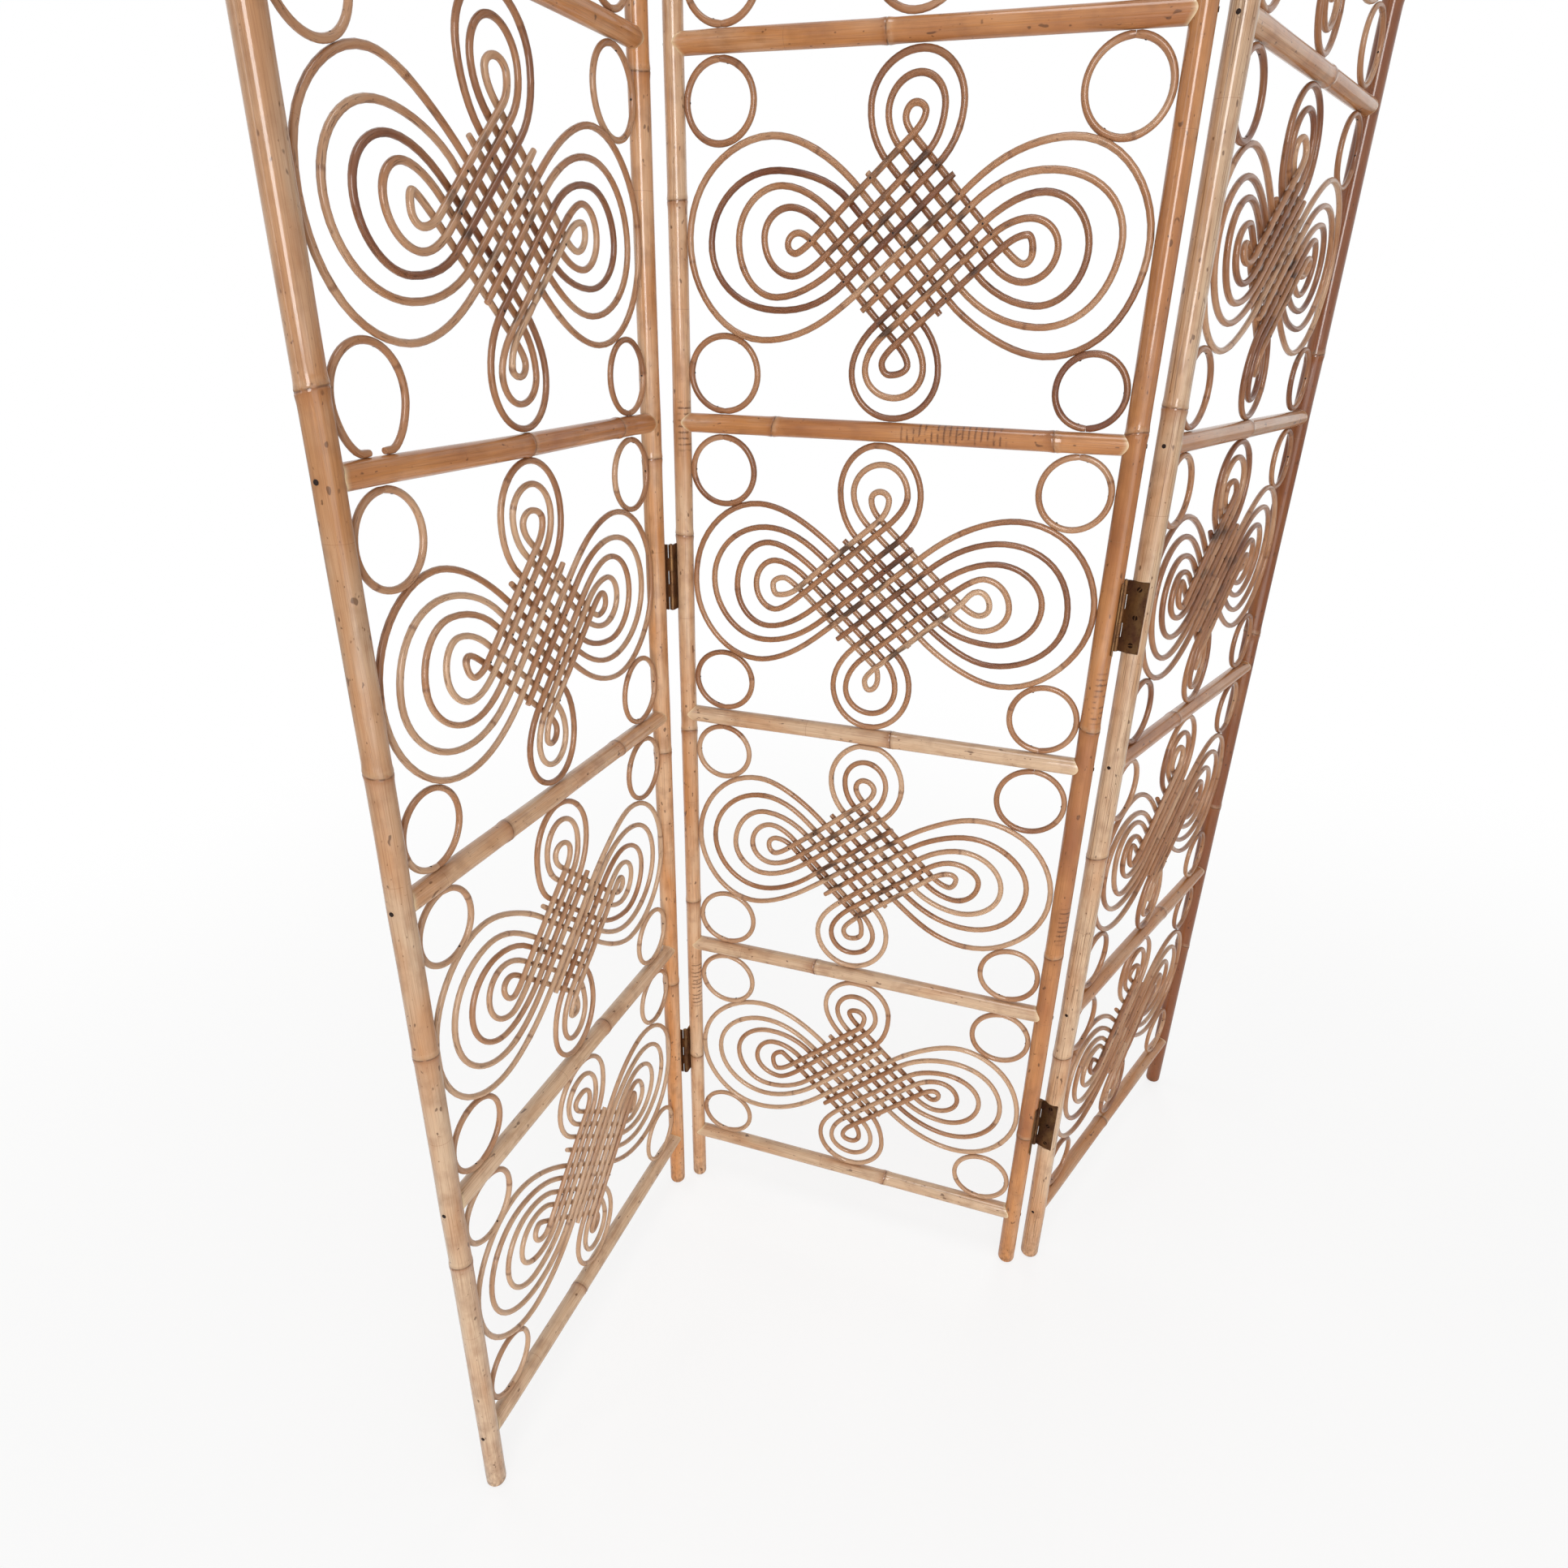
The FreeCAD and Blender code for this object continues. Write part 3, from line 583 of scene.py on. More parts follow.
def make_rail(panel, number, settings, material):
    """One rail, its ends drawn out round the posts."""
    name = panel.rails[number]
    tone, node_shares, bark_shares, crack = RAIL_GROWTH[panel.name][number]
    rng = np.random.default_rng(SEED + RAIL_SEEDS * panel.number + number)
    gaps = [radius + settings.cope_gap for radius in panel.radii]
    start = gaps[0] - panel.half
    length = 2 * panel.half - gaps[0] - gaps[1]
    nodes = [share * length for share in node_shares]
    bark = [(a * length, b * length) for a, b in bark_shares]
    marks = list(COPE_STEPS) + list(length - COPE_STEPS)
    along = stations(length, nodes, marks, settings.step)
    angles = pole_angles(settings)
    growth = ((tone, tone), (RAIL_PAINTED_SHADING[panel.name],) * 2, bark, crack, RAIL_BARK_FACE)
    thick, skin = pole_skin(rng, along, angles, RAIL_RADIUS, nodes, growth, settings)
    nearest_end = np.minimum(along, length - along)
    held = np.clip(nearest_end / COPE_FADE, 0, 1)
    y = thick * np.cos(angles) + bent(rng, along, held, RAIL_BEND, settings)
    z = thick * np.sin(angles) + bent(rng, along, held, RAIL_BEND, settings)
    x = np.broadcast_to(along[:, None], y.shape).copy()
    for gap, sign, from_end in ((gaps[0], -1, along), (gaps[1], 1, length - along)):
        drawn = gap - np.sqrt(np.maximum(gap ** 2 - y ** 2, 0))
        fade = np.clip(1 - from_end / COPE_FADE, 0, 1)[:, None] ** 2
        x += sign * drawn * fade
    skin["wear"] = np.zeros_like(x)
    skin["cut"] = np.broadcast_to(np.clip(1 - nearest_end / COPE_LIP, 0, 1)[:, None], x.shape)
    points = np.stack([start + x, y, panel.levels[number] + z], axis=-1)
    finish_pole(panel, name, points, skin, material)


# Cane routes, in the panel's own axes about the middle of a bay: across, deep, up

# The seeds of the knots start here, by panel
KNOT_SEEDS = 1000
# Unevenness of side loops and of end loops: reach and width, then belly and crown
SIDE_VARY = (1.5 * MM, 2 * MM)
END_VARY = (1.2 * MM, 1.5 * MM)
# The largest loops touch posts and rails, so their reach varies less
LARGEST_VARY = 0.2
# How long a cut end is drawn, as shares of the setting
CUT_END_RANGE = (0.7, 1.5)
# Straight strands waver less than loops; the waves' length in metres; a cane's ends hold still over this
STRAIGHT_WAVER = 0.6
WAVER_LENGTH = 0.055
END_HOLD = 20 * MM
# Points along a bend and along a strand
BEND_STEP_DEG = 7
BEND_STEP = 10 * MM
BEND_STEPS_LEAST = 4
STRAND_STEP = 9 * MM
# Corner rings: halvings to find their size, points, how oval, and how far out of the panel's plane
RING_HALVINGS = 30
RING_POINTS = 54
RING_OVAL = 0.012
RING_SKEW = 0.3 * MM
# A sprung ring: from which opening it counts as one, and the angles over which its ends straighten
SPRUNG_ANGLE = 0.1
SPRUNG_REACH = 1.3
SPRUNG_STRAIGHT = 0.45
# A cane's own thickness: its changes, their length in metres, the trimmed ends, and the swell at a joint
CANE_SWELL = 0.025
CANE_SWELL_LENGTH = 0.09
TRIM_LENGTH = 0.3 * MM
TRIM_SHARE = 0.86
JOINT_SWELL = 0.07
JOINT_LENGTH = 4 * MM
# Where the first joint of a cane is, how far apart its joints are, and how its tone changes at them
FIRST_JOINT = (0.04, 0.2)
JOINT_SPACING = (0.19, 0.3)
JOINT_TONE = 0.2
# Scorching of front strands, back strands and loops
SCORCH_SHARES = (1.2, 0.5, 0.25)


class Knot:
    """The six canes of one knot, bent by hand and so a little uneven, with the room left at its corners."""

    def __init__(self, panel, bay, canes):
        self.rng = np.random.default_rng(SEED + KNOT_SEEDS * panel.number + bay)
        self.tone, self.scorched, lean, tall = KNOT_GROWTH[panel.name][bay]
        self.canes = canes
        self.panel = panel
        self.radius = CANE_RADII[panel.name]
        self.layer = self.radius + canes.strand_gap / 2
        self.height = canes.lattice_height * tall
        levels = panel.levels[bay:bay + 2]
        self.middle = np.array([panel.radii[0] - panel.radii[1], sum(levels)]) / 2
        self.step = np.array([canes.lattice_width, self.height]) / 2 / (STRANDS - 1)
        self.heading = self.step / np.linalg.norm(self.step)
        self.side_room = panel.half - sum(panel.radii) / 2 - self.radius - TOUCH_GAP
        self.end_room = panel.bay / 2 - RAIL_RADIUS - self.radius - TOUCH_GAP
        turn = math.radians(lean)
        self.turn = np.array([[math.cos(turn), -math.sin(turn)], [math.sin(turn), math.cos(turn)]])
        self.moved = np.array([KNOT_SHIFTS.get((panel.name, bay), 0.0), 0.0])
        self.spread = self.rng.normal(0, canes.strand_spread, (2, STRANDS))

    def lattice(self, front, back):
        """Where a front strand crosses a back strand, counted from the lattice's upper left edge."""
        numbers = np.arange(1, STRANDS + 1)
        front = front + np.interp(front, numbers, self.spread[0])
        back = back + np.interp(back, numbers, self.spread[1])
        return np.array([front + back - STRANDS - 1, back - front]) * self.step + self.moved

    def loop(self, side, number):
        """Points along one loop from its front strand to its back strand."""
        index = number - 1
        vary = self.rng.normal(0, 1, 6)
        if number in (SIDE_LOOPS, END_LOOPS) and (side in ("left", "right")) == (number == SIDE_LOOPS):
            vary[:2] *= LARGEST_VARY
        hx, hz = self.heading
        sign = -1 if side in ("right", "bottom") else 1
        opposite = STRANDS + 1 - number
        strands = {
            "left": ((number, 1), (1, number)),
            "right": ((opposite, STRANDS), (STRANDS, opposite)),
            "top": ((number, STRANDS), (1, opposite)),
            "bottom": ((opposite, 1), (STRANDS, number)),
        }
        first, last = (self.lattice(*pair) for pair in strands[side])
        if side in ("left", "right"):
            apex = self.canes.lattice_width / 2 - sign * self.moved[0]
            reach = apex + (self.side_room - apex) * SIDE_REACH_SHARES[index] + vary[0] * SIDE_VARY[0]
            width = self.panel.bay * SIDE_HEIGHT_SHARE * SIDE_HEIGHT_SHARES[index] + vary[1] * SIDE_VARY[0]
            belly = apex + (reach - apex) * SIDE_BELLY_SHARES[index] + vary[2:4] * SIDE_VARY[1]
            tip = vary[4] * SIDE_VARY[1]
            crown = sign * np.array([(-belly[0], -width), (-reach, tip), (-belly[1], width)])
            headings = [(-hx, -hz), (-1, 0), (0, 1), (1, 0), (hx, -hz)]
        else:
            apex = self.height / 2
            reach = apex + (self.end_room - apex) * END_REACH_SHARES[index] + vary[0] * END_VARY[0]
            width = self.panel.bay * END_WIDTH_SHARE * END_WIDTH_SHARES[index] + vary[1] * END_VARY[0]
            belly = apex + (reach - apex) * END_BELLY_SHARES[index] + vary[2:4] * END_VARY[1]
            tip = vary[4] * END_VARY[1]
            crown = sign * np.array([(width, belly[0]), (tip, reach), (-width, belly[1])])
            crown = crown + self.moved
            headings = [(hx, hz), (0, 1), (-1, 0), (0, -1), (hx, -hz)]
        places = np.vstack([first, crown, last])
        headings = sign * np.array(headings)
        points = []
        stretches = len(places) - 1
        for count in range(stretches):
            flat = bend(places[count], headings[count], places[count + 1], headings[count + 1])
            share = (count + np.linspace(0, 1, len(flat))) / stretches
            depth = -self.layer * np.cos(math.pi * share)
            stretch = np.stack([flat[:, 0], depth, flat[:, 1]], axis=1)
            points.append(stretch if count == 0 else stretch[1:])
        return np.concatenate(points)

    def strand_end(self, front, number, share, offset):
        """A place on a lattice strand at a share of its length, moved on by an offset."""
        last = 1 + (STRANDS - 1) * share
        hx, hz = self.heading
        if front:
            x, z = self.lattice(number, last) + offset * np.array([hx, hz])
            return np.array([x, -self.layer, z])
        x, z = self.lattice(last, number) + offset * np.array([hx, -hz])
        return np.array([x, self.layer, z])

    def routes(self):
        """The six canes as lists of points, each from one cut end to the other."""
        gap = self.canes.butt_gap / 2
        routes = []
        for number in range(1, END_LOOPS + 1):
            strand, share = STRANDS + 1 - number, BUTT_SHARES[number - 1]
            loops = [self.loop("right", number), self.loop("top", number)[::-1],
                     self.loop("left", number), self.loop("bottom", number)[::-1]]
            ends = [self.strand_end(True, strand, share, sign * gap) for sign in (1, -1)]
            routes.append(threaded(ends[0], loops, ends[1]))
        open_number = END_LOOPS + 1
        for side, sign in (("left", -1), ("right", 1)):
            strand = open_number if sign < 0 else STRANDS + 1 - open_number
            share = 1 if sign < 0 else 0
            ends = []
            for front in (True, False):
                cut_end = self.canes.cut_end * self.rng.uniform(*CUT_END_RANGE)
                ends.append(self.strand_end(front, strand, share, -sign * cut_end))
            routes.append(threaded(ends[0], [self.loop(side, open_number)], ends[1]))
        loops = [self.loop("right", SIDE_LOOPS), self.loop("left", SIDE_LOOPS)[::-1]]
        ends = [self.strand_end(True, SIDE_LOOPS, BUTT_SHARES[-1], sign * gap) for sign in (1, -1)]
        routes.append(threaded(ends[0], loops, ends[1]))
        return [self.uneven(points, straight) for points, straight in routes]

    def uneven(self, points, straight):
        """Lean the whole knot and let the cane wander a little in the plane of the panel."""
        flat = points[:, [0, 2]] @ self.turn.T
        along = lengths(points)
        ahead = np.gradient(flat, axis=0)
        normal = np.stack([-ahead[:, 1], ahead[:, 0]], axis=1)
        normal /= np.maximum(np.linalg.norm(normal, axis=1, keepdims=True), 1e-9)
        amount = self.canes.waver * np.where(straight, STRAIGHT_WAVER, 1.0)
        amount = amount * waver(self.rng, along, WAVER_LENGTH)
        hold = np.clip(np.minimum(along, along[-1] - along) / END_HOLD, 0, 1)
        flat = flat + normal * (amount * hold)[:, None]
        limit = np.array([self.side_room, self.end_room])
        flat = np.clip(flat, -limit, limit) + self.middle
        return np.stack([flat[:, 0], points[:, 1], flat[:, 1]], axis=1), straight


def lengths(points):
    """Distances along a line of points from its start."""
    return np.concatenate([[0.0], np.cumsum(np.linalg.norm(np.diff(points, axis=0), axis=1))])


def bend(start, leaving, end, arriving):
    """Points along a smooth bend from one place and heading to another, closer where it turns more."""
    chord = end - start
    size = np.linalg.norm(chord)
    cross = leaving[0] * arriving[1] - leaving[1] * arriving[0]
    turn = math.acos(float(np.clip(leaving @ arriving, -1, 1)))
    legs = (size / 3, size / 3)
    if abs(cross) > 1e-6:
        first = (chord[0] * arriving[1] - chord[1] * arriving[0]) / cross
        second = (leaving[0] * chord[1] - leaving[1] * chord[0]) / cross
        if first > 0 and second > 0:
            share = 4 / 3 * math.tan(turn / 4) / math.tan(turn / 2)
            legs = (first * share, second * share)
    count = max(BEND_STEPS_LEAST, int(math.degrees(turn) / BEND_STEP_DEG), int(size / BEND_STEP)) + 1
    t = np.linspace(0, 1, count)[:, None]
    out = start + leaving * legs[0]
    back = end - arriving * legs[1]
    u = 1 - t
    return u ** 3 * start + 3 * u ** 2 * t * out + 3 * u * t ** 2 * back + t ** 3 * end


def threaded(start, loops, end):
    """One cane: straight strands through the lattice between its loops, and where it runs straight."""
    parts, straight = [], []
    here = start
    for loop in loops + [None]:
        there = end if loop is None else loop[0]
        count = max(2, int(np.linalg.norm(there - here) / STRAND_STEP))
        run = here + (there - here) * np.linspace(0, 1, count + 1)[:, None]
        parts.append(run if loop is None else run[:-1])
        straight.append(np.ones(len(parts[-1]), bool))
        if loop is not None:
            parts.append(loop[:-1])
            straight.append(np.zeros(len(loop) - 1, bool))
            here = loop[-1]
    return np.concatenate(parts), np.concatenate(straight)


def corner_ring(knot, outer, side, up):
    """The ring in a bay's corner, as large as post, rail and the knot's largest loop let it be: its radius,
    its middle, and the angle at which it meets the loop."""
    panel = knot.panel
    radius = knot.radius
    wall = side * (panel.half - panel.radii[side > 0] - TOUCH_GAP)
    ceiling = knot.middle[1] + up * (panel.bay / 2 - RAIL_RADIUS - TOUCH_GAP)
    small, large = 2 * radius, panel.bay / 2
    quarter = np.sign(outer[:, [0, 2]] - knot.middle) == (side, up)
    near = outer[quarter.all(axis=1)]

    def middle(ring_radius):
        inset = ring_radius + radius
        return np.array([wall - side * inset, 0.0, ceiling - up * inset])

    for _ in range(RING_HALVINGS):
        bend_radius = (small + large) / 2
        centre = middle(bend_radius)
        away = near - centre
        flat = np.hypot(away[:, 0], away[:, 2]) - bend_radius
        if np.hypot(flat, away[:, 1]).min() > 2 * radius and flat.min() > 0:
            small = bend_radius
        else:
            large = bend_radius
    centre = middle(small)
    loop_side = near[np.argmin(np.linalg.norm(near - centre, axis=1))] - centre
    return small, centre, math.atan2(loop_side[2], loop_side[0])


def ring_route(bend_radius, centre, up, gap, rng):
    """A ring from one cut end to the other, its joint at the rail."""
    open_angle = gap / bend_radius
    start = up * math.pi / 2
    angle = start + np.linspace(open_angle / 2, FULL_TURN - open_angle / 2, RING_POINTS)
    from_joint = np.abs(np.angle(np.exp(1j * (angle - start))))
    oval = 1 + RING_OVAL * np.cos(2 * angle + rng.uniform(*ANY_TURN)) * np.sin(from_joint / 2) ** 2
    settle = np.clip(SPRUNG_REACH - from_joint, 0, 1) * (open_angle > SPRUNG_ANGLE)
    settle = settle * settle * (3 - 2 * settle)
    straightened = 1 / np.cos(np.minimum(from_joint, SPRUNG_STRAIGHT)) - 1
    reach = bend_radius * oval * (1 + settle * straightened)
    across = centre[0] + reach * np.cos(angle)
    upward = centre[2] + reach * np.sin(angle)
    skew = rng.uniform(-RING_SKEW, RING_SKEW) * np.cos(angle - start)
    return np.stack([across, skew, upward], axis=1)


def cane_points(routes, panel, radius, rng):
    """A mesh of lines along cane routes, with thickness, length, tone, scorching and nodes at each point."""
    places, edges = [], []
    layers = {"thick": [], "along": [], "tone": [], "scorch": [], "node": []}
    total = 0
    for points, straight, tone, scorched in routes:
        along = lengths(points)
        count = len(points)
        from_end = np.minimum(along, along[-1] - along)
        thick = radius * (1 + CANE_SWELL * waver(rng, along, CANE_SWELL_LENGTH))
        thick = thick * np.where(from_end < TRIM_LENGTH, TRIM_SHARE, 1.0)
        marks = np.arange(rng.uniform(*FIRST_JOINT), along[-1], rng.uniform(*JOINT_SPACING))
        nearest = np.full(count, NODE_FAR)
        for mark in marks:
            distance = along - mark
            nearest = np.where(np.abs(distance) < np.abs(nearest), distance, nearest)
        thick = thick * (1 + JOINT_SWELL * np.exp(-(nearest / JOINT_LENGTH) ** 2))
        shades = tone + rng.uniform(-JOINT_TONE, JOINT_TONE, len(marks) + 1)
        places.append(panel.place(points))
        edges.append(np.stack([np.arange(count - 1), np.arange(1, count)], axis=1) + total)
        layers["thick"].append(thick)
        layers["along"].append(along + rng.uniform(*ANY_GRAIN))
        layers["tone"].append(shades[np.searchsorted(marks, along)])
        in_front, behind, in_loops = SCORCH_SHARES
        in_lattice = np.where(points[:, 1] < 0, in_front, behind)
        layers["scorch"].append(scorched * np.where(straight, in_lattice, in_loops))
        layers["node"].append(nearest)
        total += count
    mesh = bpy.data.meshes.new("cane_lines")
    mesh.from_pydata(np.concatenate(places).tolist(), np.concatenate(edges).tolist(), [])
    store(mesh, **{name: np.concatenate(value) for name, value in layers.items()})
    return mesh


# Geometry trees

def new_tree(name, inputs):
    """An empty geometry tree with named inputs, and its input and output nodes."""
    tree = bpy.data.node_groups.new(name, "GeometryNodeTree")
    tree.interface.new_socket("Geometry", in_out="INPUT", socket_type="NodeSocketGeometry")
    for label, kind in inputs:
        tree.interface.new_socket(label, in_out="INPUT", socket_type=kind)
    tree.interface.new_socket("Geometry", in_out="OUTPUT", socket_type="NodeSocketGeometry")
    return tree, add(tree, "NodeGroupInput"), add(tree, "NodeGroupOutput")


def close_tree(tree, made, start, end):
    """End a tree: real geometry instead of instances, in the finish that its input names."""
    real = add(tree, "GeometryNodeRealizeInstances", {"Geometry": made.outputs[0]})
    dressed = add(tree, "GeometryNodeSetMaterial",
                  {"Geometry": real.outputs[0], "Material": start.outputs["Finish"]})
    tree.links.new(dressed.outputs[0], end.inputs[0])
    return tree


def cane_tree():
    """Round cane along lines: a circle follows each line at its own thickness, and keeps its grain."""
    tree, start, end = new_tree("bent_cane", [("Sides", "NodeSocketInt"), ("Finish", "NodeSocketMaterial")])
    thick = add(tree, "GeometryNodeInputNamedAttribute", {"Name": "thick"}, data_type="FLOAT")
    along = add(tree, "GeometryNodeInputNamedAttribute", {"Name": "along"}, data_type="FLOAT")
    line = add(tree, "GeometryNodeMeshToCurve", {"Mesh": start.outputs["Geometry"]})
    circle = add(tree, "GeometryNodeCurvePrimitiveCircle",
                 {"Resolution": start.outputs["Sides"], "Radius": 1.0})
    where = add(tree, "GeometryNodeInputPosition")
    section = add(tree, "GeometryNodeStoreNamedAttribute",
                  {"Geometry": circle.outputs["Curve"], "Name": "section", "Value": where.outputs[0]},
                  data_type="FLOAT_VECTOR", domain="POINT")
    tube = add(tree, "GeometryNodeCurveToMesh",
               {"Curve": line.outputs[0], "Profile Curve": section.outputs[0], "Scale": thick.outputs[0],
                "Fill Caps": True})
    around = add(tree, "GeometryNodeInputNamedAttribute", {"Name": "section"}, data_type="FLOAT_VECTOR")
    scaled = add(tree, "ShaderNodeVectorMath", {0: around.outputs[0], "Scale": thick.outputs[0]},
                 operation="SCALE")
    parts = add(tree, "ShaderNodeSeparateXYZ", {0: scaled.outputs[0]})
    grain = add(tree, "ShaderNodeCombineXYZ",
                {"X": parts.outputs["X"], "Y": parts.outputs["Y"], "Z": along.outputs[0]})
    kept = add(tree, "GeometryNodeStoreNamedAttribute",
               {"Geometry": tube.outputs[0], "Name": "grain", "Value": grain.outputs[0]},
               data_type="FLOAT_VECTOR", domain="POINT")
    return close_tree(tree, kept, start, end)


def heads_tree():
    """Heads of brads, nails or screws: one head on each point, facing the way that the point says."""
    tree, start, end = new_tree("driven_heads", [("Head", "NodeSocketObject"), ("Seed", "NodeSocketInt"),
                                                 ("Finish", "NodeSocketMaterial")])
    head = add(tree, "GeometryNodeObjectInfo", {"Object": start.outputs["Head"]})
    facing = add(tree, "GeometryNodeInputNamedAttribute", {"Name": "facing"}, data_type="FLOAT_VECTOR")
    spin = add(tree, "FunctionNodeRandomValue",
               {2: 0.0, 3: FULL_TURN, "Seed": start.outputs["Seed"]}, data_type="FLOAT")
    turned = add(tree, "FunctionNodeAxisAngleToRotation", {"Axis": (0, 0, 1), "Angle": spin.outputs[1]})
    aimed = add(tree, "FunctionNodeAlignRotationToVector", {"Vector": facing.outputs[0]}, axis="Z")
    both = add(tree, "FunctionNodeRotateRotation",
               {"Rotation": aimed.outputs[0], "Rotate By": turned.outputs[0]}, rotation_space="LOCAL")
    points = add(tree, "GeometryNodeMeshToPoints", {"Mesh": start.outputs["Geometry"]})
    placed = add(tree, "GeometryNodeInstanceOnPoints",
                 {"Points": points.outputs[0], "Instance": head.outputs["Geometry"],
                  "Rotation": both.outputs[0]})
    return close_tree(tree, placed, start, end)


# Small fasteners

HEAD_SHARP_DEG = 40
# A screw head: height over the leaf, depth of the slot's floor, and rounding of its edge
SCREW_TOP = 0.12 * MM
SCREW_FLOOR = -0.6 * MM
SCREW_EDGE = 0.25 * MM
SCREW_ARC_POINTS = 11
SCREW_BASE_SIDES = 24
SCREW_BASE_SHARE = 0.98
SCREW_BASE_RISE = 0.1 * MM
# How much of the edge's rounding the slot's own edges get
SLOT_EDGE_SHARE = 0.3


def turned(name, profile, sides):
    """A round head turned from a profile of radius and height."""
    angles = np.linspace(0, FULL_TURN, sides, endpoint=False)
    rings = np.array([[(r * math.cos(a), r * math.sin(a), z) for a in angles] for r, z in profile])
    mesh = tube_mesh(name, rings)
    point_outwards(mesh, HEAD_SHARP_DEG)
    return mesh


def close_rows(work, rows):
    """Faces between rows of points, with a lid on the last row and on the first."""
    for lower, upper in zip(rows, rows[1:]):
        for count in range(len(lower)):
            after = (count + 1) % len(lower)
            work.faces.new((lower[count], lower[after], upper[after], upper[count]))
    work.faces.new(rows[-1])
    work.faces.new(rows[0][::-1])


def slotted_head(name, radius, slot):
    """A countersunk screw head: two half discs either side of the slot, on the slot's floor."""
    work = bmesh.new()
    reach = math.acos(slot / 2 / radius)
    for sign in (1, -1):
        angles = np.linspace(-reach, reach, SCREW_ARC_POINTS)
        outline = [(sign * radius * math.cos(a), sign * radius * math.sin(a)) for a in angles]
        rows = []
        for draw, height in ((0, SCREW_FLOOR), (0, SCREW_TOP - SCREW_EDGE), (SCREW_EDGE, SCREW_TOP)):
            ring = []
            for x, y in outline:
                inward = np.array([x, y]) * (1 - draw / radius)
                inward[0] = sign * max(abs(inward[0]), slot / 2 + SLOT_EDGE_SHARE * draw)
                ring.append(work.verts.new((inward[0], inward[1], height)))
            rows.append(ring)
        close_rows(work, rows)
    base = bmesh.ops.create_circle(work, cap_ends=True, radius=radius * SCREW_BASE_SHARE,
                                   segments=SCREW_BASE_SIDES)
    for vertex in base["verts"]:
        vertex.co.z = SCREW_FLOOR + SCREW_BASE_RISE
    mesh = bpy.data.meshes.new(name)
    work.to_mesh(mesh)
    work.free()
    point_outwards(mesh, HEAD_SHARP_DEG)
    return mesh


def set_heads(name, head, places, facing, tree, finish, seed):
    """Put one head on each place, facing a direction, and return the mesh."""
    head.materials.append(finish)
    pattern = bpy.data.objects.new(head.name, head)
    bpy.context.scene.collection.objects.link(pattern)
    points = bpy.data.meshes.new(f"{name}_places")
    points.from_pydata(np.asarray(places).tolist(), [], [])
    store(points, facing=np.asarray(facing))
    mesh = grown(name, points, tree, {"Head": pattern, "Seed": seed, "Finish": finish})
    bpy.data.objects.remove(pattern)
    return mesh


# Hinges

# A leaf: air between its plate and the other leaf's knuckles, how far a knuckle's root lies inside the plate,
# air between knuckles, and points round a knuckle
KNUCKLE_CLEAR = 0.3 * MM
ROOT_INSET = 0.02 * MM
KNUCKLE_GAP = 0.1 * MM
KNUCKLE_POINTS = 25


def extruded(work, outline, low, high, place):
    """Add a closed prism over an outline, between two heights."""
    rows = [[work.verts.new(place((x, y, z))) for x, y in outline] for z in (low, high)]
    close_rows(work, rows)


def hinge_leaf(work, panel, pin, hand, toward, level, three, settings):
    """One leaf: a flat plate and the knuckles rolled from it round the pin."""
    barrel = settings.pin + settings.leaf
    half = settings.height / 2
    neck = math.sqrt((barrel + KNUCKLE_CLEAR) ** 2 - settings.pin ** 2)

    def place(point):
        return panel.place([pin[0] + hand * point[0], pin[1] + toward * point[1], level + point[2]])

    edge = settings.leaf_width
    plate = [(settings.pin, neck), (barrel, neck), (barrel, edge), (settings.pin, edge)]
    extruded(work, plate, -half, half, place)
    first = math.acos(settings.pin / barrel)
    turns = np.linspace(first, FULL_TURN, KNUCKLE_POINTS)
    roll = [(barrel * math.cos(a), barrel * math.sin(a)) for a in turns]
    root = neck + KNUCKLE_CLEAR
    roll += [(barrel - ROOT_INSET, root), (settings.pin + ROOT_INSET, root)]
    pitch = settings.height / settings.knuckles
    for count in range(0 if three else 1, settings.knuckles, 2):
        low = -half + count * pitch
        extruded(work, roll, low + KNUCKLE_GAP, low + pitch - KNUCKLE_GAP, place)


def hinge_sides():
    """Each post that carries leaves: panel, post side, pin place, and whether it has the odd knuckles."""
    for panel in PANELS.values():
        for side in (-1, 1):
            post = panel.posts[side > 0]
            if post in SIDE_JOINTS:
                yield panel, side, panel.pin(SIDE_JOINTS[post]), side < 0


def hinge_nodes(panel, side):
    """The frame's node names for the leaves on one side of a panel."""
    if panel.name == "center":
        return ["center_left_hinge_leaves" if side < 0 else "center_right_hinge_leaves"]
    return [f"{panel.name}_hinge_leaves"]


# Finishes

# Marks on a rattan skin and on cane: size in millimetres round, round and along the grain, the noise levels
# between which the mark comes up, the noise's detail, and the mark's strength and colour. Real fibres, cracks
# and slits are too fine to show, so they are drawn coarser.
RATTAN_MARKS = {
    "fibre": ((0.7, 0.7, 60), 0.48, 0.72, 2.0, 0.46, "#84552F"),
    "crack": ((1.0, 1.0, 80), 0.58, 0.68, 1.0, 0.75, "#6B4A2C"),
    "speck": ((3, 3, 5), 0.73, 0.78, 1.0, 0.75, "#5A3820"),
    "scar": ((6, 6, 11), 0.71, 0.75, 1.0, 0.7, "#4A2A17"),
    "stain": ((9, 9, 40), 0.56, 0.8, 2.0, 0.45, "#8F5A33"),
    "smudge": ((16, 16, 20), 0.5, 0.75, 4.0, 0.40, "#7F5333"),
}
CANE_MARKS = {
    "fibre": ((0.6, 0.6, 40), 0.45, 0.75, 2.0, 0.3, "#7A4E31"),
    "speck": ((2, 2, 3.5), 0.70, 0.76, 1.0, 0.5, "#4A2C1A"),
    "slit": ((1.1, 1.1, 15), 0.66, 0.71, 1.0, 0.6, "#3F2415"),
}
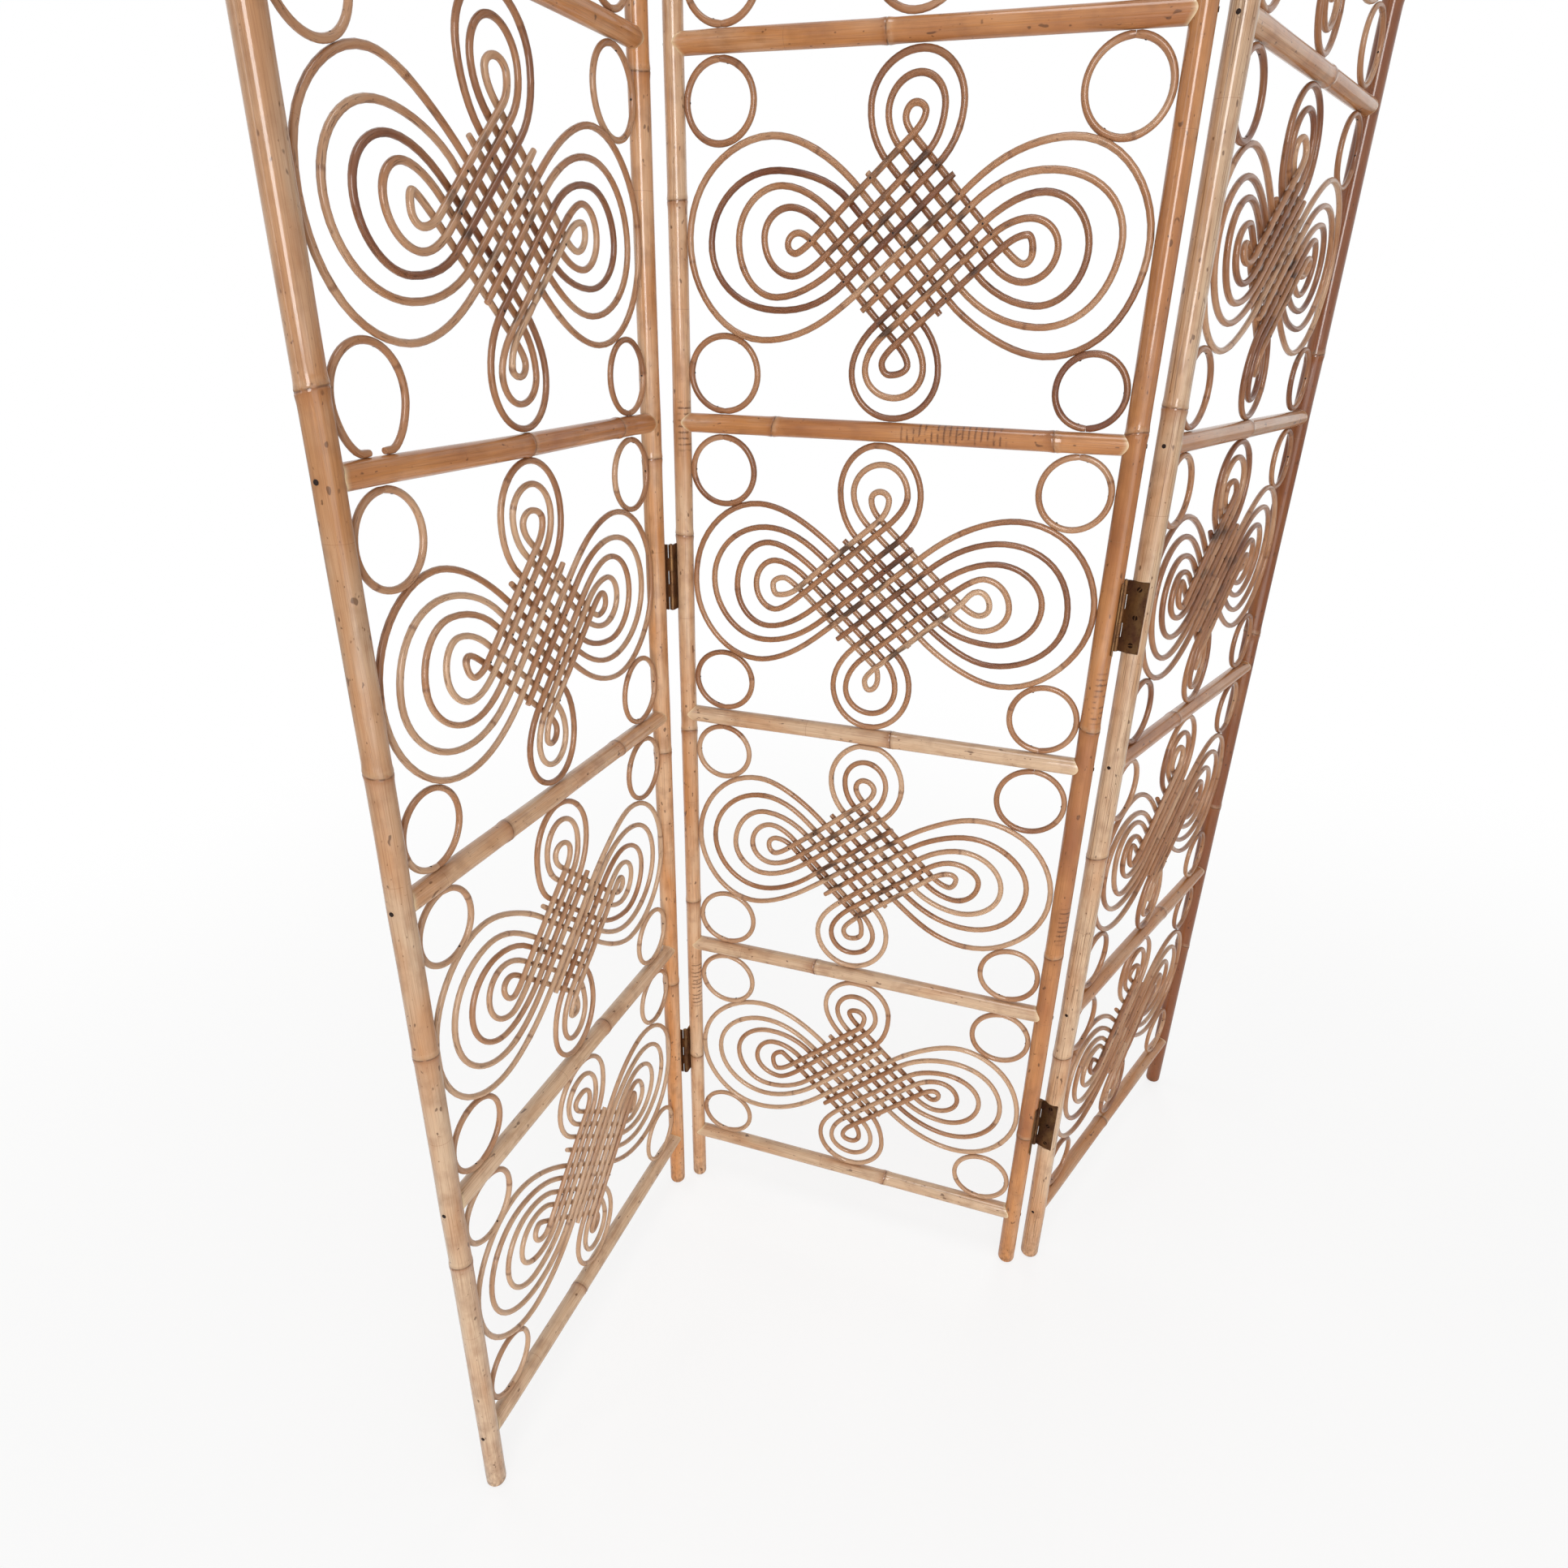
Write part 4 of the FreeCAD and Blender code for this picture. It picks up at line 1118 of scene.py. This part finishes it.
# Bands round a rattan node, by their distance from it in millimetres: a torn pale one above, a brown one
# below, a soft shade on both sides and the torn scar line itself
NODE_BANDS = (
    ("GREATER_THAN", 7, 1, True, 0.3, "#DCC3A0"),
    ("LESS_THAN", -16, -1, False, 0.4, "#93582F"),
    (None, 5, 0.5, False, 0.5, "#84532E"),
    (None, 1.1, 0.4, True, 0.65, "#4A2A17"),
)
# Bark scratches are 6.3 mm apart; at a scale of 1 the wave repeats each full turn / 20
TICK_SPACING = FULL_TURN * MM
TICK_WAVE = {"Scale": FULL_TURN / 20 / TICK_SPACING, "Distortion": 2.5, "Detail": 2.0, "Detail Scale": 60.0}


def new_material(name, layers=(), **sockets):
    """A named material with one main shader, the given numbers set straight on its sockets, and the values
    that its pieces keep for each of their points."""
    material = bpy.data.materials.new(name)
    material.use_nodes = True
    tree = material.node_tree
    tree.nodes.clear()
    numbers = {key.replace("_", " "): value for key, value in sockets.items()}
    shader = add(tree, "ShaderNodeBsdfPrincipled", numbers)
    output = add(tree, "ShaderNodeOutputMaterial", {"Surface": shader.outputs[0]})
    output.is_active_output = True
    kept = {}
    for layer in layers:
        node = add(tree, "ShaderNodeAttribute", attribute_type="GEOMETRY", attribute_name=layer)
        kept[layer] = node.outputs["Vector" if layer == "grain" else "Fac"]
    return material, tree, shader, kept


def patch(tree, vector, size_mm, low, high, detail=2.0):
    """A soft mask from noise whose patches have a size in millimetres round, round and along the grain."""
    scale = tuple(1 / (size * MM) for size in size_mm)
    spread = add(tree, "ShaderNodeVectorMath", {0: vector, 1: scale}, operation="MULTIPLY")
    noise = add(tree, "ShaderNodeTexNoise", {"Vector": spread.outputs[0], "Scale": 1.0, "Detail": detail})
    mask = add(tree, "ShaderNodeMapRange", {"Value": noise.outputs[0], "From Min": low, "From Max": high})
    return mask.outputs[0]


def stained(tree, colour, stain, strength, *masks):
    """Lay a stain over a colour, as strong as its masks together let it be."""
    for mask in masks:
        strength = add(tree, "ShaderNodeMath", {0: mask, 1: strength}, operation="MULTIPLY").outputs[0]
    return add(tree, "ShaderNodeMix", {0: strength, 6: colour, 7: stain}, data_type="RGBA").outputs[2]


def marked(tree, colour, marks, kept):
    """Lay a table of marks over a colour, held back where the piece says so; also the masks of the marks."""
    masks = {}
    for name, (size_mm, low, high, detail, strength, hex_colour) in marks.items():
        masks[name] = patch(tree, kept["grain"], size_mm, low, high, detail)
        held = [kept[name]] if name in kept else []
        colour = stained(tree, colour, linear(hex_colour), strength, masks[name], *held)
    return colour, masks


def toned(tree, tone, mottle, spread, colours):
    """A skin's colour, from the palest to the darkest, by its own tone and its mottling."""
    shade = add(tree, "ShaderNodeMath", {0: mottle, 1: spread, 2: tone}, operation="MULTIPLY_ADD")
    shade = add(tree, "ShaderNodeMath", {0: shade.outputs[0], 1: spread / 2}, operation="SUBTRACT")
    ramp = add(tree, "ShaderNodeValToRGB", {0: shade.outputs[0]})
    stops = ramp.color_ramp.elements
    while len(stops) < len(colours):
        stops.new(0.5)
    for count, colour in enumerate(colours):
        stops[count].position = count / (len(colours) - 1)
        stops[count].color = colour
    return ramp.outputs[0]


def dress(tree, shader, colour, rough, height, strength, depth, invert=True):
    """Give a shader its colour, its roughness and a relief."""
    relief = {"Height": height, "Strength": strength, "Distance": depth}
    bump = add(tree, "ShaderNodeBump", relief, invert=invert)
    for socket, output in (("Base Color", colour), ("Roughness", rough), ("Normal", bump.outputs[0])):
        tree.links.new(output, shader.inputs[socket])


def rattan_skin(settings):
    """Varnished rattan pole: a waxy straw skin that browns in patches, with fine fibres along it, scars at
    its nodes, short bark scratches, specks, and scuffs at the foot, under a thin glossy varnish."""
    layers = ("grain", "tone", "depth", "crack", "node", "bark", "wear", "cut")
    material, tree, shader, kept = new_material("varnished_rattan", layers, Coat_Weight=0.8,
                                                Coat_Roughness=0.1, Specular_IOR_Level=0.1)
    grain = kept["grain"]
    mottle = patch(tree, grain, (26, 26, 110), 0.3, 0.7, 3.0)
    colour = toned(tree, kept["tone"], mottle, 0.44, (settings.straw, settings.tan, settings.russet))
    # Painted light and shade: the colour is scaled by each pole's depth factor, for how light falls on it
    light = add(tree, "ShaderNodeVectorMath", {0: colour, "Scale": kept["depth"]}, operation="SCALE")
    colour, masks = marked(tree, light.outputs[0], RATTAN_MARKS, kept)

    near = add(tree, "ShaderNodeMath", {0: kept["node"]}, operation="ABSOLUTE").outputs[0]
    torn = patch(tree, grain, (5, 5, 5), 0.3, 0.55)
    for side, far, close, is_torn, strength, hex_colour in NODE_BANDS:
        away = kept["node"] if side else near
        band = [add(tree, "ShaderNodeMapRange", {0: away, 1: far * MM, 2: close * MM}).outputs[0]]
        if side:
            band.append(add(tree, "ShaderNodeMath", {0: away, 1: 0.0}, operation=side).outputs[0])
        if is_torn:
            band.append(torn)
        colour = stained(tree, colour, linear(hex_colour), strength, *band)

    ladder = add(tree, "ShaderNodeTexWave", {"Vector": grain, **TICK_WAVE}, bands_direction="Z")
    tick = add(tree, "ShaderNodeMapRange", {0: ladder.outputs["Fac"], 1: 0.74, 2: 0.93}).outputs[0]
    for mask in (patch(tree, grain, (11, 11, 9), 0.40, 0.48), kept["bark"]):
        tick = add(tree, "ShaderNodeMath", {0: tick, 1: mask}, operation="MULTIPLY").outputs[0]
    colour = stained(tree, colour, linear("#57301A"), 0.85, tick)
    scuff = patch(tree, grain, (4, 4, 7), 0.45, 0.62)
    colour = stained(tree, colour, linear("#6B4729"), 0.7, scuff, kept["wear"])
    colour = stained(tree, colour, linear("#D9C09A"), 1.0, kept["cut"])

    rough = add(tree, "ShaderNodeMapRange", {0: mottle, 3: 0.30, 4: 0.46}).outputs[0]
    height = add(tree, "ShaderNodeMath", {0: masks["fibre"], 1: tick}, operation="ADD").outputs[0]
    dress(tree, shader, colour, rough, height, 0.25, 0.2 * MM)
    return material


def bent_cane(settings):
    """Varnished cane bent over a flame: brown, streaky along its length, with darker joints and black
    scorches."""
    layers = ("grain", "tone", "node", "scorch")
    material, tree, shader, kept = new_material("bent_cane", layers, Coat_Weight=0.7, Coat_Roughness=0.14,
                                                Specular_IOR_Level=0.1)
    mottle = patch(tree, kept["grain"], (14, 14, 75), 0.3, 0.7, 3.0)
    colour = toned(tree, kept["tone"], mottle, 0.5, (settings.pale, settings.brown, settings.dark))
    colour, masks = marked(tree, colour, CANE_MARKS, kept)
    near = add(tree, "ShaderNodeMath", {0: kept["node"]}, operation="ABSOLUTE").outputs[0]
    ringed = add(tree, "ShaderNodeMapRange", {0: near, 1: 2.6 * MM, 2: 0.6 * MM}).outputs[0]
    colour = stained(tree, colour, linear("#6A4026"), 0.55, ringed)

    spots = patch(tree, kept["grain"], (14, 14, 34), 0.0, 1.0, 2.5)
    level = add(tree, "ShaderNodeMapRange", {0: kept["scorch"], 3: 0.70, 4: 0.47}).outputs[0]
    upper = add(tree, "ShaderNodeMath", {0: level, 1: 0.15}, operation="ADD").outputs[0]
    burnt = add(tree, "ShaderNodeMapRange", {0: spots, 1: level, 2: upper}).outputs[0]
    colour = stained(tree, colour, settings.scorch, 0.88, burnt)

    rough = add(tree, "ShaderNodeMapRange", {0: mottle, 3: 0.32, 4: 0.5}).outputs[0]
    dress(tree, shader, colour, rough, masks["fibre"], 0.25, 0.15 * MM)
    return material


def aged_brass(name, dark, worn_to, level):
    """Old rolled brass: a dark, dull metal, worn lighter and smoother in patches, with black grime."""
    material, tree, shader, _ = new_material(name, Metallic=1.0)
    place = add(tree, "ShaderNodeTexCoord").outputs["Object"]
    worn = patch(tree, place, (9, 9, 16), level - 0.3, level, 4.0)
    colour = stained(tree, dark, worn_to, 1.0, worn)
    grime = patch(tree, place, (2.2, 2.2, 2.2), 0.58, 0.74)
    colour = stained(tree, colour, linear("#24160E"), 0.6, grime)
    rough = add(tree, "ShaderNodeMapRange", {0: worn, 3: 0.52, 4: 0.34}).outputs[0]
    dress(tree, shader, colour, rough, grime, 0.2, 0.1 * MM, invert=False)
    return material


def rusted_steel():
    """Small steel heads gone nearly black with rust and varnish."""
    material, tree, shader, _ = new_material("rusted_steel", Metallic=0.6, Roughness=0.6)
    place = add(tree, "ShaderNodeTexCoord").outputs["Object"]
    rust = patch(tree, place, (0.8, 0.8, 0.8), 0.4, 0.7)
    colour = stained(tree, linear("#17110D"), linear("#3A2114"), 1.0, rust)
    tree.links.new(colour, shader.inputs["Base Color"])
    return material


def finish(name, build, *settings):
    """The named material, made on first use."""
    return bpy.data.materials.get(name) or build(*settings)


# Operators

CANE_SHARP_DEG = 55
# The seeds of cane tones, rings and brads start here, by panel
CANE_SEEDS = 7
# How the tones of a knot's canes and of the rings differ from the knot's own, and the rings' scorching
CANE_TONE_SPREAD = 0.13
RING_TONES = (-0.1, 0.15)
RING_SCORCH = 0.3
# Share of the crossings that have a brad, and the angle by which a ring's brad keeps clear of its joint
BRAD_SHARE = 0.16
BRAD_ASIDE = 0.25
# Outlines of small heads, as radius and height in millimetres, and their sides
BRAD_OUTLINE = ((1.0, -0.4), (1.05, 0.1), (0.75, 0.3), (0.25, 0.38))
BRAD_SIDES = 8
NAIL_OUTLINE = ((2.0, -1.0), (2.1, 0.1), (1.7, 0.3), (0.8, 0.2))
NAIL_SIDES = 14
NAIL_RISE = 0.2 * MM
SCREW_RADIUS = 2.9 * MM
SCREW_SLOT = 0.9 * MM
# A leaf's outer screws from its middle, as a share of its height
SCREW_MARGIN = 0.39
# The rounding of a leaf's edges, the angle from which an edge gets it, and the angle that stays sharp
LEAF_ROUND = 0.22 * MM
LEAF_EDGE_DEG = 40
LEAF_SHARP_DEG = 25
# A pin: how far it stands out of the knuckles, its play in them, and its rounded ends as shares of its
# radius with heights in millimetres
PIN_STICK_OUT = 0.8 * MM
PIN_PLAY = 0.97
PIN_END = ((0.45, 0.0), (0.85, 0.35), (1.0, 0.8))
PIN_SIDES = 16
# Noise levels at which brass has worn down to the lighter metal, on leaves and on screws
LEAF_WORN = 0.66
SCREW_WORN = 0.9

# Lamps: place, aim, size, power in watts, and whether they light matt surfaces and show in glossy ones
LAMPS = {
    "window_left": ((-1.7, -2.6, 2.0), (-0.1, 0.0, 1.1), (0.4, 2.0), 6.0, True, True),
    "window_low": ((0.8, -3.6, 0.7), (0.0, 0.0, 0.3), (1.8, 1.0), 62.0, True, False),
    "window_glare": ((0.7, -3.0, 2.05), (0.0, 0.0, 1.1), (1.0, 2.0), 72.0, False, True),
    "ceiling": ((0.2, -0.8, 5.0), (0.0, 0.0, 0.8), (1.6, 1.6), 42.0, True, True),
    "fill_right": ((1.6, -1.8, 0.6), (0.0, 0.0, 0.4), (1.6, 1.2), 11.0, True, True),
    "fill_left": ((-2.6, 0.7, 1.0), (-0.1, 0.0, 0.8), (1.6, 1.6), 14.0, True, False),
    "fill_back": ((0.4, 2.8, 1.5), (0.0, 0.0, 0.9), (1.8, 1.8), 28.0, True, False),
}
WHITE = (1.0, 1.0, 1.0, 1.0)
WORLD_STRENGTH = 0.40
FLOOR_HALF = 14.0
# Distances from the middle over which the floor fades to white, and how white it is at the nearer one
FLOOR_FADE = (0.9, 2.6)
FLOOR_WHITE = 0.78
SENSOR_MM = 36


def round_head(name, outline_mm, sides):
    """A round head from an outline in millimetres."""
    return turned(name, [(radius * MM, height * MM) for radius, height in outline_mm], sides)


class SCREEN_OT_posts(Operator):
    """Make the six rattan posts"""
    bl_idname = "rattan_screen.posts"
    bl_label = "Posts"

    def execute(self, context):
        scene = context.scene
        material = finish("varnished_rattan", rattan_skin, scene.screen_poles)
        for panel in PANELS.values():
            for side in (-1, 1):
                make_post(panel, side, scene.screen_poles, scene.screen_hinges, material)
        return {"FINISHED"}


class SCREEN_OT_rails(Operator):
    """Make the rails, coped to the posts"""
    bl_idname = "rattan_screen.rails"
    bl_label = "Rails"

    def execute(self, context):
        settings = context.scene.screen_poles
        material = finish("varnished_rattan", rattan_skin, settings)
        for panel in PANELS.values():
            for number in range(len(panel.rails)):
                make_rail(panel, number, settings, material)
        return {"FINISHED"}


class SCREEN_OT_cane_work(Operator):
    """Make the cane knots, the corner rings that fit round them, and the brads that hold both"""
    bl_idname = "rattan_screen.cane_work"
    bl_label = "Knots, rings and brads"

    def execute(self, context):
        settings = context.scene.screen_canes
        cane = finish("bent_cane", bent_cane, settings)
        steel = finish("rusted_steel", rusted_steel)
        self.canes = cane_tree()
        self.inputs = {"Sides": settings.sides, "Finish": cane}
        heads = heads_tree()
        for panel in PANELS.values():
            brads = ([], [])
            ring_lines = []
            rng = np.random.default_rng(SEED + CANE_SEEDS * panel.number)
            for bay in range(len(panel.levels) - 1):
                knot = Knot(panel, bay, settings)
                routes = knot.routes()
                tones = knot.tone + rng.normal(0, CANE_TONE_SPREAD, len(routes))
                tones = tones + DARK_CANES.get((panel.name, bay), 0.0)
                lines = [(*route, tone, knot.scorched) for route, tone in zip(routes, tones)]
                name = f"{panel.name}_knot_{bay + 1}"
                self.make_canes(panel, name, lines, rng, "knot_cane")
                crossing_brads(knot, rng, brads)
                for side in (-1, 1):
                    for up in (-1, 1):
                        sprung = (panel.name, bay, side, up) == SPRUNG_RING
                        gap = SPRUNG_GAP if sprung else settings.butt_gap
                        ring_lines.append(ring_line(knot, routes[-1][0], side, up, gap, sprung, rng, brads))
            self.make_canes(panel, f"{panel.name}_rings", ring_lines, rng, "ring_cane")
            places, facing = (panel.place(brads[0]), panel.heading(brads[1]))
            head = round_head("brad_head", BRAD_OUTLINE, BRAD_SIDES)
            mesh = set_heads(f"{panel.name}_brads", head, places, facing, heads, steel, SEED)
            mesh.shade_smooth()
            finish_piece(mesh.name, mesh, panel.body, [])
        return {"FINISHED"}

    def make_canes(self, panel, node, lines, rng, slot):
        """Grow round canes along some lines, as the piece for a node."""
        points = cane_points(lines, panel, CANE_RADII[panel.name], rng)
        mesh = grown(f"{node}_canes", points, self.canes, self.inputs)
        point_outwards(mesh, CANE_SHARP_DEG)
        finish_piece(mesh.name, mesh, panel.body, [node])


def ring_line(knot, outer, side, up, gap, sprung, rng, brads):
    """One corner ring for cane_points; brads go at post and loop, and at the rail if it is shut."""
    radius, centre, loop_angle = corner_ring(knot, outer, side, up)
    held_at = [math.pi * (side < 0), loop_angle]
    if not sprung:
        held_at.append(up * math.pi / 2 - BRAD_ASIDE)
    points = ring_route(radius, centre, up, gap, rng)
    for held in held_at:
        outward = np.array([math.cos(held), 0.0, math.sin(held)])
        brads[0].append(centre + outward * (radius - knot.radius))
        brads[1].append(-outward)
    tone = knot.tone + rng.uniform(*RING_TONES)
    return points, np.zeros(len(points), bool), tone, RING_SCORCH * knot.scorched


def crossing_brads(knot, rng, brads):
    """Brads at some crossings of the lattice, on the front strands."""
    for front in range(1, STRANDS + 1):
        for back in range(1, STRANDS + 1):
            if rng.uniform() < BRAD_SHARE:
                across, up = knot.turn @ knot.lattice(front, back) + knot.middle
                brads[0].append((across, -knot.layer - knot.radius, up))
                brads[1].append((0.0, -1.0, 0.0))


class SCREEN_OT_nails(Operator):
    """Make the nail heads set in the posts at each rail"""
    bl_idname = "rattan_screen.nails"
    bl_label = "Nail heads"

    def execute(self, context):
        steel = finish("rusted_steel", rusted_steel)
        tree = heads_tree()
        for panel in PANELS.values():
            places, facing = [], []
            for side in (-1, 1):
                outward = side * (panel.half + panel.radii[side > 0] + NAIL_RISE)
                for level in panel.levels:
                    places.append((outward, 0.0, level))
                    facing.append((side, 0.0, 0.0))
            places, facing = panel.place(places), panel.heading(facing)
            head = round_head("nail_head", NAIL_OUTLINE, NAIL_SIDES)
            mesh = set_heads(f"{panel.name}_nail_heads", head, places, facing, tree, steel, SEED)
            finish_piece(mesh.name, mesh, panel.body, [f"{panel.name}_rail_nails"])
        return {"FINISHED"}


class SCREEN_OT_hinges(Operator):
    """Make the hinge leaves with their knuckles, the pins and the slotted screws"""
    bl_idname = "rattan_screen.hinges"
    bl_label = "Hinges"

    def execute(self, context):
        settings = context.scene.screen_hinges
        brass = finish("patinated_brass", aged_brass, "patinated_brass", settings.patina, settings.brass,
                       LEAF_WORN)
        dull = finish("tarnished_brass", aged_brass, "tarnished_brass", settings.tarnish, settings.patina,
                      SCREW_WORN)
        tree = heads_tree()
        screws = {name: ([], []) for name in PANELS}
        margin = settings.height * SCREW_MARGIN
        for panel, side, pin, three in hinge_sides():
            self.make_leaves(panel, side, pin, three, settings, brass)
            places, facing = screws[panel.name]
            for level in HINGE_LEVELS:
                for height in np.linspace(level - margin, level + margin, settings.screws):
                    places.append((pin[0] - side * settings.pin, 0.0, height))
                    facing.append((side, 0.0, 0.0))
            if three:
                self.make_pins(panel, pin, settings, brass)
        for name, (places, facing) in screws.items():
            panel = PANELS[name]
            places, facing = panel.place(places), panel.heading(facing)
            head = slotted_head("screw_head", SCREW_RADIUS, SCREW_SLOT)
            mesh = set_heads(f"{name}_hinge_screws_brass", head, places, facing, tree, dull, SEED)
            finish_piece(mesh.name, mesh, panel.body, [f"{name}_hinge_screws"])
        return {"FINISHED"}

    def make_leaves(self, panel, side, pin, three, settings, brass):
        """The leaves on one post, with rounded edges."""
        toward = -1 if pin[1] > 0 else 1
        work = bmesh.new()
        for level in HINGE_LEVELS:
            hinge_leaf(work, panel, pin, -side, toward, level, three, settings)
        bmesh.ops.recalc_face_normals(work, faces=work.faces)
        edges = [edge for edge in work.edges if edge.calc_face_angle(0) > math.radians(LEAF_EDGE_DEG)]
        bmesh.ops.bevel(work, geom=edges, offset=LEAF_ROUND, segments=2, affect="EDGES", clamp_overlap=True)
        nodes = hinge_nodes(panel, side)
        self.finish_brass(panel, work, nodes, brass, LEAF_SHARP_DEG)

    def make_pins(self, panel, pin, settings, brass):
        """The pins of one pin line."""
        node = "center_left_hinge_pins" if panel.name == "center" else "right_hinge_pins"
        work = bmesh.new()
        half = settings.height / 2 + PIN_STICK_OUT
        radius = settings.pin * PIN_PLAY
        lower = [(radius * share, -half + height * MM) for share, height in PIN_END]
        upper = [(across, -height) for across, height in reversed(lower)]
        shape = turned(node, lower + upper, PIN_SIDES)
        for level in HINGE_LEVELS:
            copy = shape.copy()
            copy.transform(Matrix.Translation(Vector(panel.place([pin[0], pin[1], level]))))
            work.from_mesh(copy)
            bpy.data.meshes.remove(copy)
        bpy.data.meshes.remove(shape)
        self.finish_brass(panel, work, [node], brass, HEAD_SHARP_DEG)

    def finish_brass(self, panel, work, nodes, brass, sharp_deg):
        """Put a finished shape in the scene as brass, for some nodes."""
        mesh = bpy.data.meshes.new(f"{nodes[0]}_brass")
        work.to_mesh(mesh)
        work.free()
        mesh.materials.append(brass)
        point_outwards(mesh, sharp_deg)
        finish_piece(mesh.name, mesh, panel.body, nodes)


class SCREEN_OT_stage(Operator):
    """Make the pale floor, the soft light, the white surroundings and the camera"""
    bl_idname = "rattan_screen.stage"
    bl_label = "Stage"

    def execute(self, context):
        scene = context.scene
        settings = scene.screen_stage
        self.make_floor(scene, settings)
        self.make_world(scene)
        for name, (place, target, size, power, matt, gloss) in LAMPS.items():
            lamp = bpy.data.lights.new(name, "AREA")
            lamp.shape = "RECTANGLE"
            lamp.size, lamp.size_y = size
            lamp.energy = power
            light = bpy.data.objects.new(name, lamp)
            light.location = place
            light.visible_diffuse = matt
            light.visible_glossy = gloss
            light.rotation_euler = (Vector(target) - Vector(place)).to_track_quat("-Z", "Y").to_euler()
            scene.collection.objects.link(light)
        self.make_camera(scene, settings)
        scene.view_settings.view_transform = "Standard"
        return {"FINISHED"}

    def make_floor(self, scene, settings):
        """A wide pale floor that the camera sees as nearly white, but for the screen's shadow."""
        mesh = bpy.data.meshes.new("floor")
        signs = ((-1, -1), (1, -1), (1, 1), (-1, 1))
        mesh.from_pydata([(x * FLOOR_HALF, y * FLOOR_HALF, 0) for x, y in signs], [], [(0, 1, 2, 3)])
        floor = bpy.data.objects.new("floor", mesh)
        scene.collection.objects.link(floor)
        floor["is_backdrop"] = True
        material = bpy.data.materials.new("pale_floor")
        material.use_nodes = True
        tree = material.node_tree
        tree.nodes.clear()
        seen = add(tree, "ShaderNodeLightPath")
        matt = add(tree, "ShaderNodeBsdfDiffuse", {"Color": settings.floor})
        white = add(tree, "ShaderNodeEmission", {"Color": WHITE, "Strength": 1.0})
        place = add(tree, "ShaderNodeTexCoord").outputs["Object"]
        away = add(tree, "ShaderNodeVectorMath", {0: place}, operation="LENGTH").outputs["Value"]
        near, far = FLOOR_FADE
        fade = add(tree, "ShaderNodeMapRange", {0: away, 1: near, 2: far, 3: FLOOR_WHITE, 4: 1.0},
                   interpolation_type="SMOOTHSTEP")
        share = add(tree, "ShaderNodeMath", {0: seen.outputs["Is Camera Ray"], 1: fade.outputs[0]},
                    operation="MULTIPLY")
        shaders = {0: share.outputs[0], 1: matt.outputs[0], 2: white.outputs[0]}
        both = add(tree, "ShaderNodeMixShader", shaders)
        add(tree, "ShaderNodeOutputMaterial", {"Surface": both.outputs[0]})
        mesh.materials.append(material)

    def make_world(self, scene):
        """White to the camera and in reflections, and a plain soft light for the rest."""
        world = bpy.data.worlds.new("studio")
        world.use_nodes = True
        tree = world.node_tree
        tree.nodes.clear()
        seen = add(tree, "ShaderNodeLightPath").outputs
        white = seen["Is Camera Ray"]
        for ray in ("Is Transmission Ray", "Is Glossy Ray"):
            white = add(tree, "ShaderNodeMath", {0: white, 1: seen[ray]}, operation="MAXIMUM").outputs[0]
        strength = add(tree, "ShaderNodeMapRange", {0: white, 3: WORLD_STRENGTH, 4: 1.0})
        back = add(tree, "ShaderNodeBackground", {"Color": WHITE, "Strength": strength.outputs[0]})
        add(tree, "ShaderNodeOutputWorld", {"Surface": back.outputs[0]})
        scene.world = world

    def make_camera(self, scene, settings):
        """The camera where the photographer stood, a little above the screen's middle, looking down."""
        yaw, pitch, roll = settings.yaw, settings.pitch, settings.roll
        level = math.cos(pitch)
        ahead = Vector((-math.sin(yaw) * level, math.cos(yaw) * level, -math.sin(pitch)))
        right = Vector((math.cos(yaw), math.sin(yaw), 0))
        up = right.cross(ahead)
        leaned = math.cos(roll) * right + math.sin(roll) * up
        top = math.cos(roll) * up - math.sin(roll) * right
        data = bpy.data.cameras.new("camera")
        data.sensor_width = SENSOR_MM
        data.sensor_fit = "HORIZONTAL"
        data.lens = settings.lens
        camera = bpy.data.objects.new("camera", data)
        turn = Matrix((leaned, top, -ahead)).transposed().to_4x4()
        camera.matrix_world = Matrix.Translation(settings.camera) @ turn
        scene.collection.objects.link(camera)
        scene.camera = camera


class SCREEN_PT_panel(Panel):
    """Lists the steps that dress the screen"""
    bl_idname = "SCREEN_PT_rattan_screen"
    bl_label = "Rattan screen"
    bl_space_type = "VIEW_3D"
    bl_region_type = "UI"
    bl_category = "Screen"

    def draw(self, context):
        for step in OPERATORS:
            self.layout.operator(step.bl_idname)


OPERATORS = (SCREEN_OT_posts, SCREEN_OT_rails, SCREEN_OT_cane_work, SCREEN_OT_nails, SCREEN_OT_hinges,
             SCREEN_OT_stage)
SETTINGS = {"screen_poles": PoleSettings, "screen_canes": CaneSettings, "screen_hinges": HingeSettings,
            "screen_stage": StageSettings}


def register():
    for group in SETTINGS.values():
        bpy.utils.register_class(group)
    for step in OPERATORS + (SCREEN_PT_panel,):
        bpy.utils.register_class(step)
    for name, group in SETTINGS.items():
        setattr(bpy.types.Scene, name, PointerProperty(type=group))


def unregister():
    for name in SETTINGS:
        delattr(bpy.types.Scene, name)
    for step in (SCREEN_PT_panel,) + OPERATORS[::-1]:
        bpy.utils.unregister_class(step)
    for group in SETTINGS.values():
        bpy.utils.unregister_class(group)


def main():
    register()
    bpy.ops.rattan_screen.posts()
    bpy.ops.rattan_screen.rails()
    bpy.ops.rattan_screen.cane_work()
    bpy.ops.rattan_screen.nails()
    bpy.ops.rattan_screen.hinges()
    bpy.ops.rattan_screen.stage()
    boxes = {"cad": CAD_BOX, "visual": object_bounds()}
    {name: [list(low), list(high)] for name, (low, high) in boxes.items()}


if __name__ == "__main__":
    main()
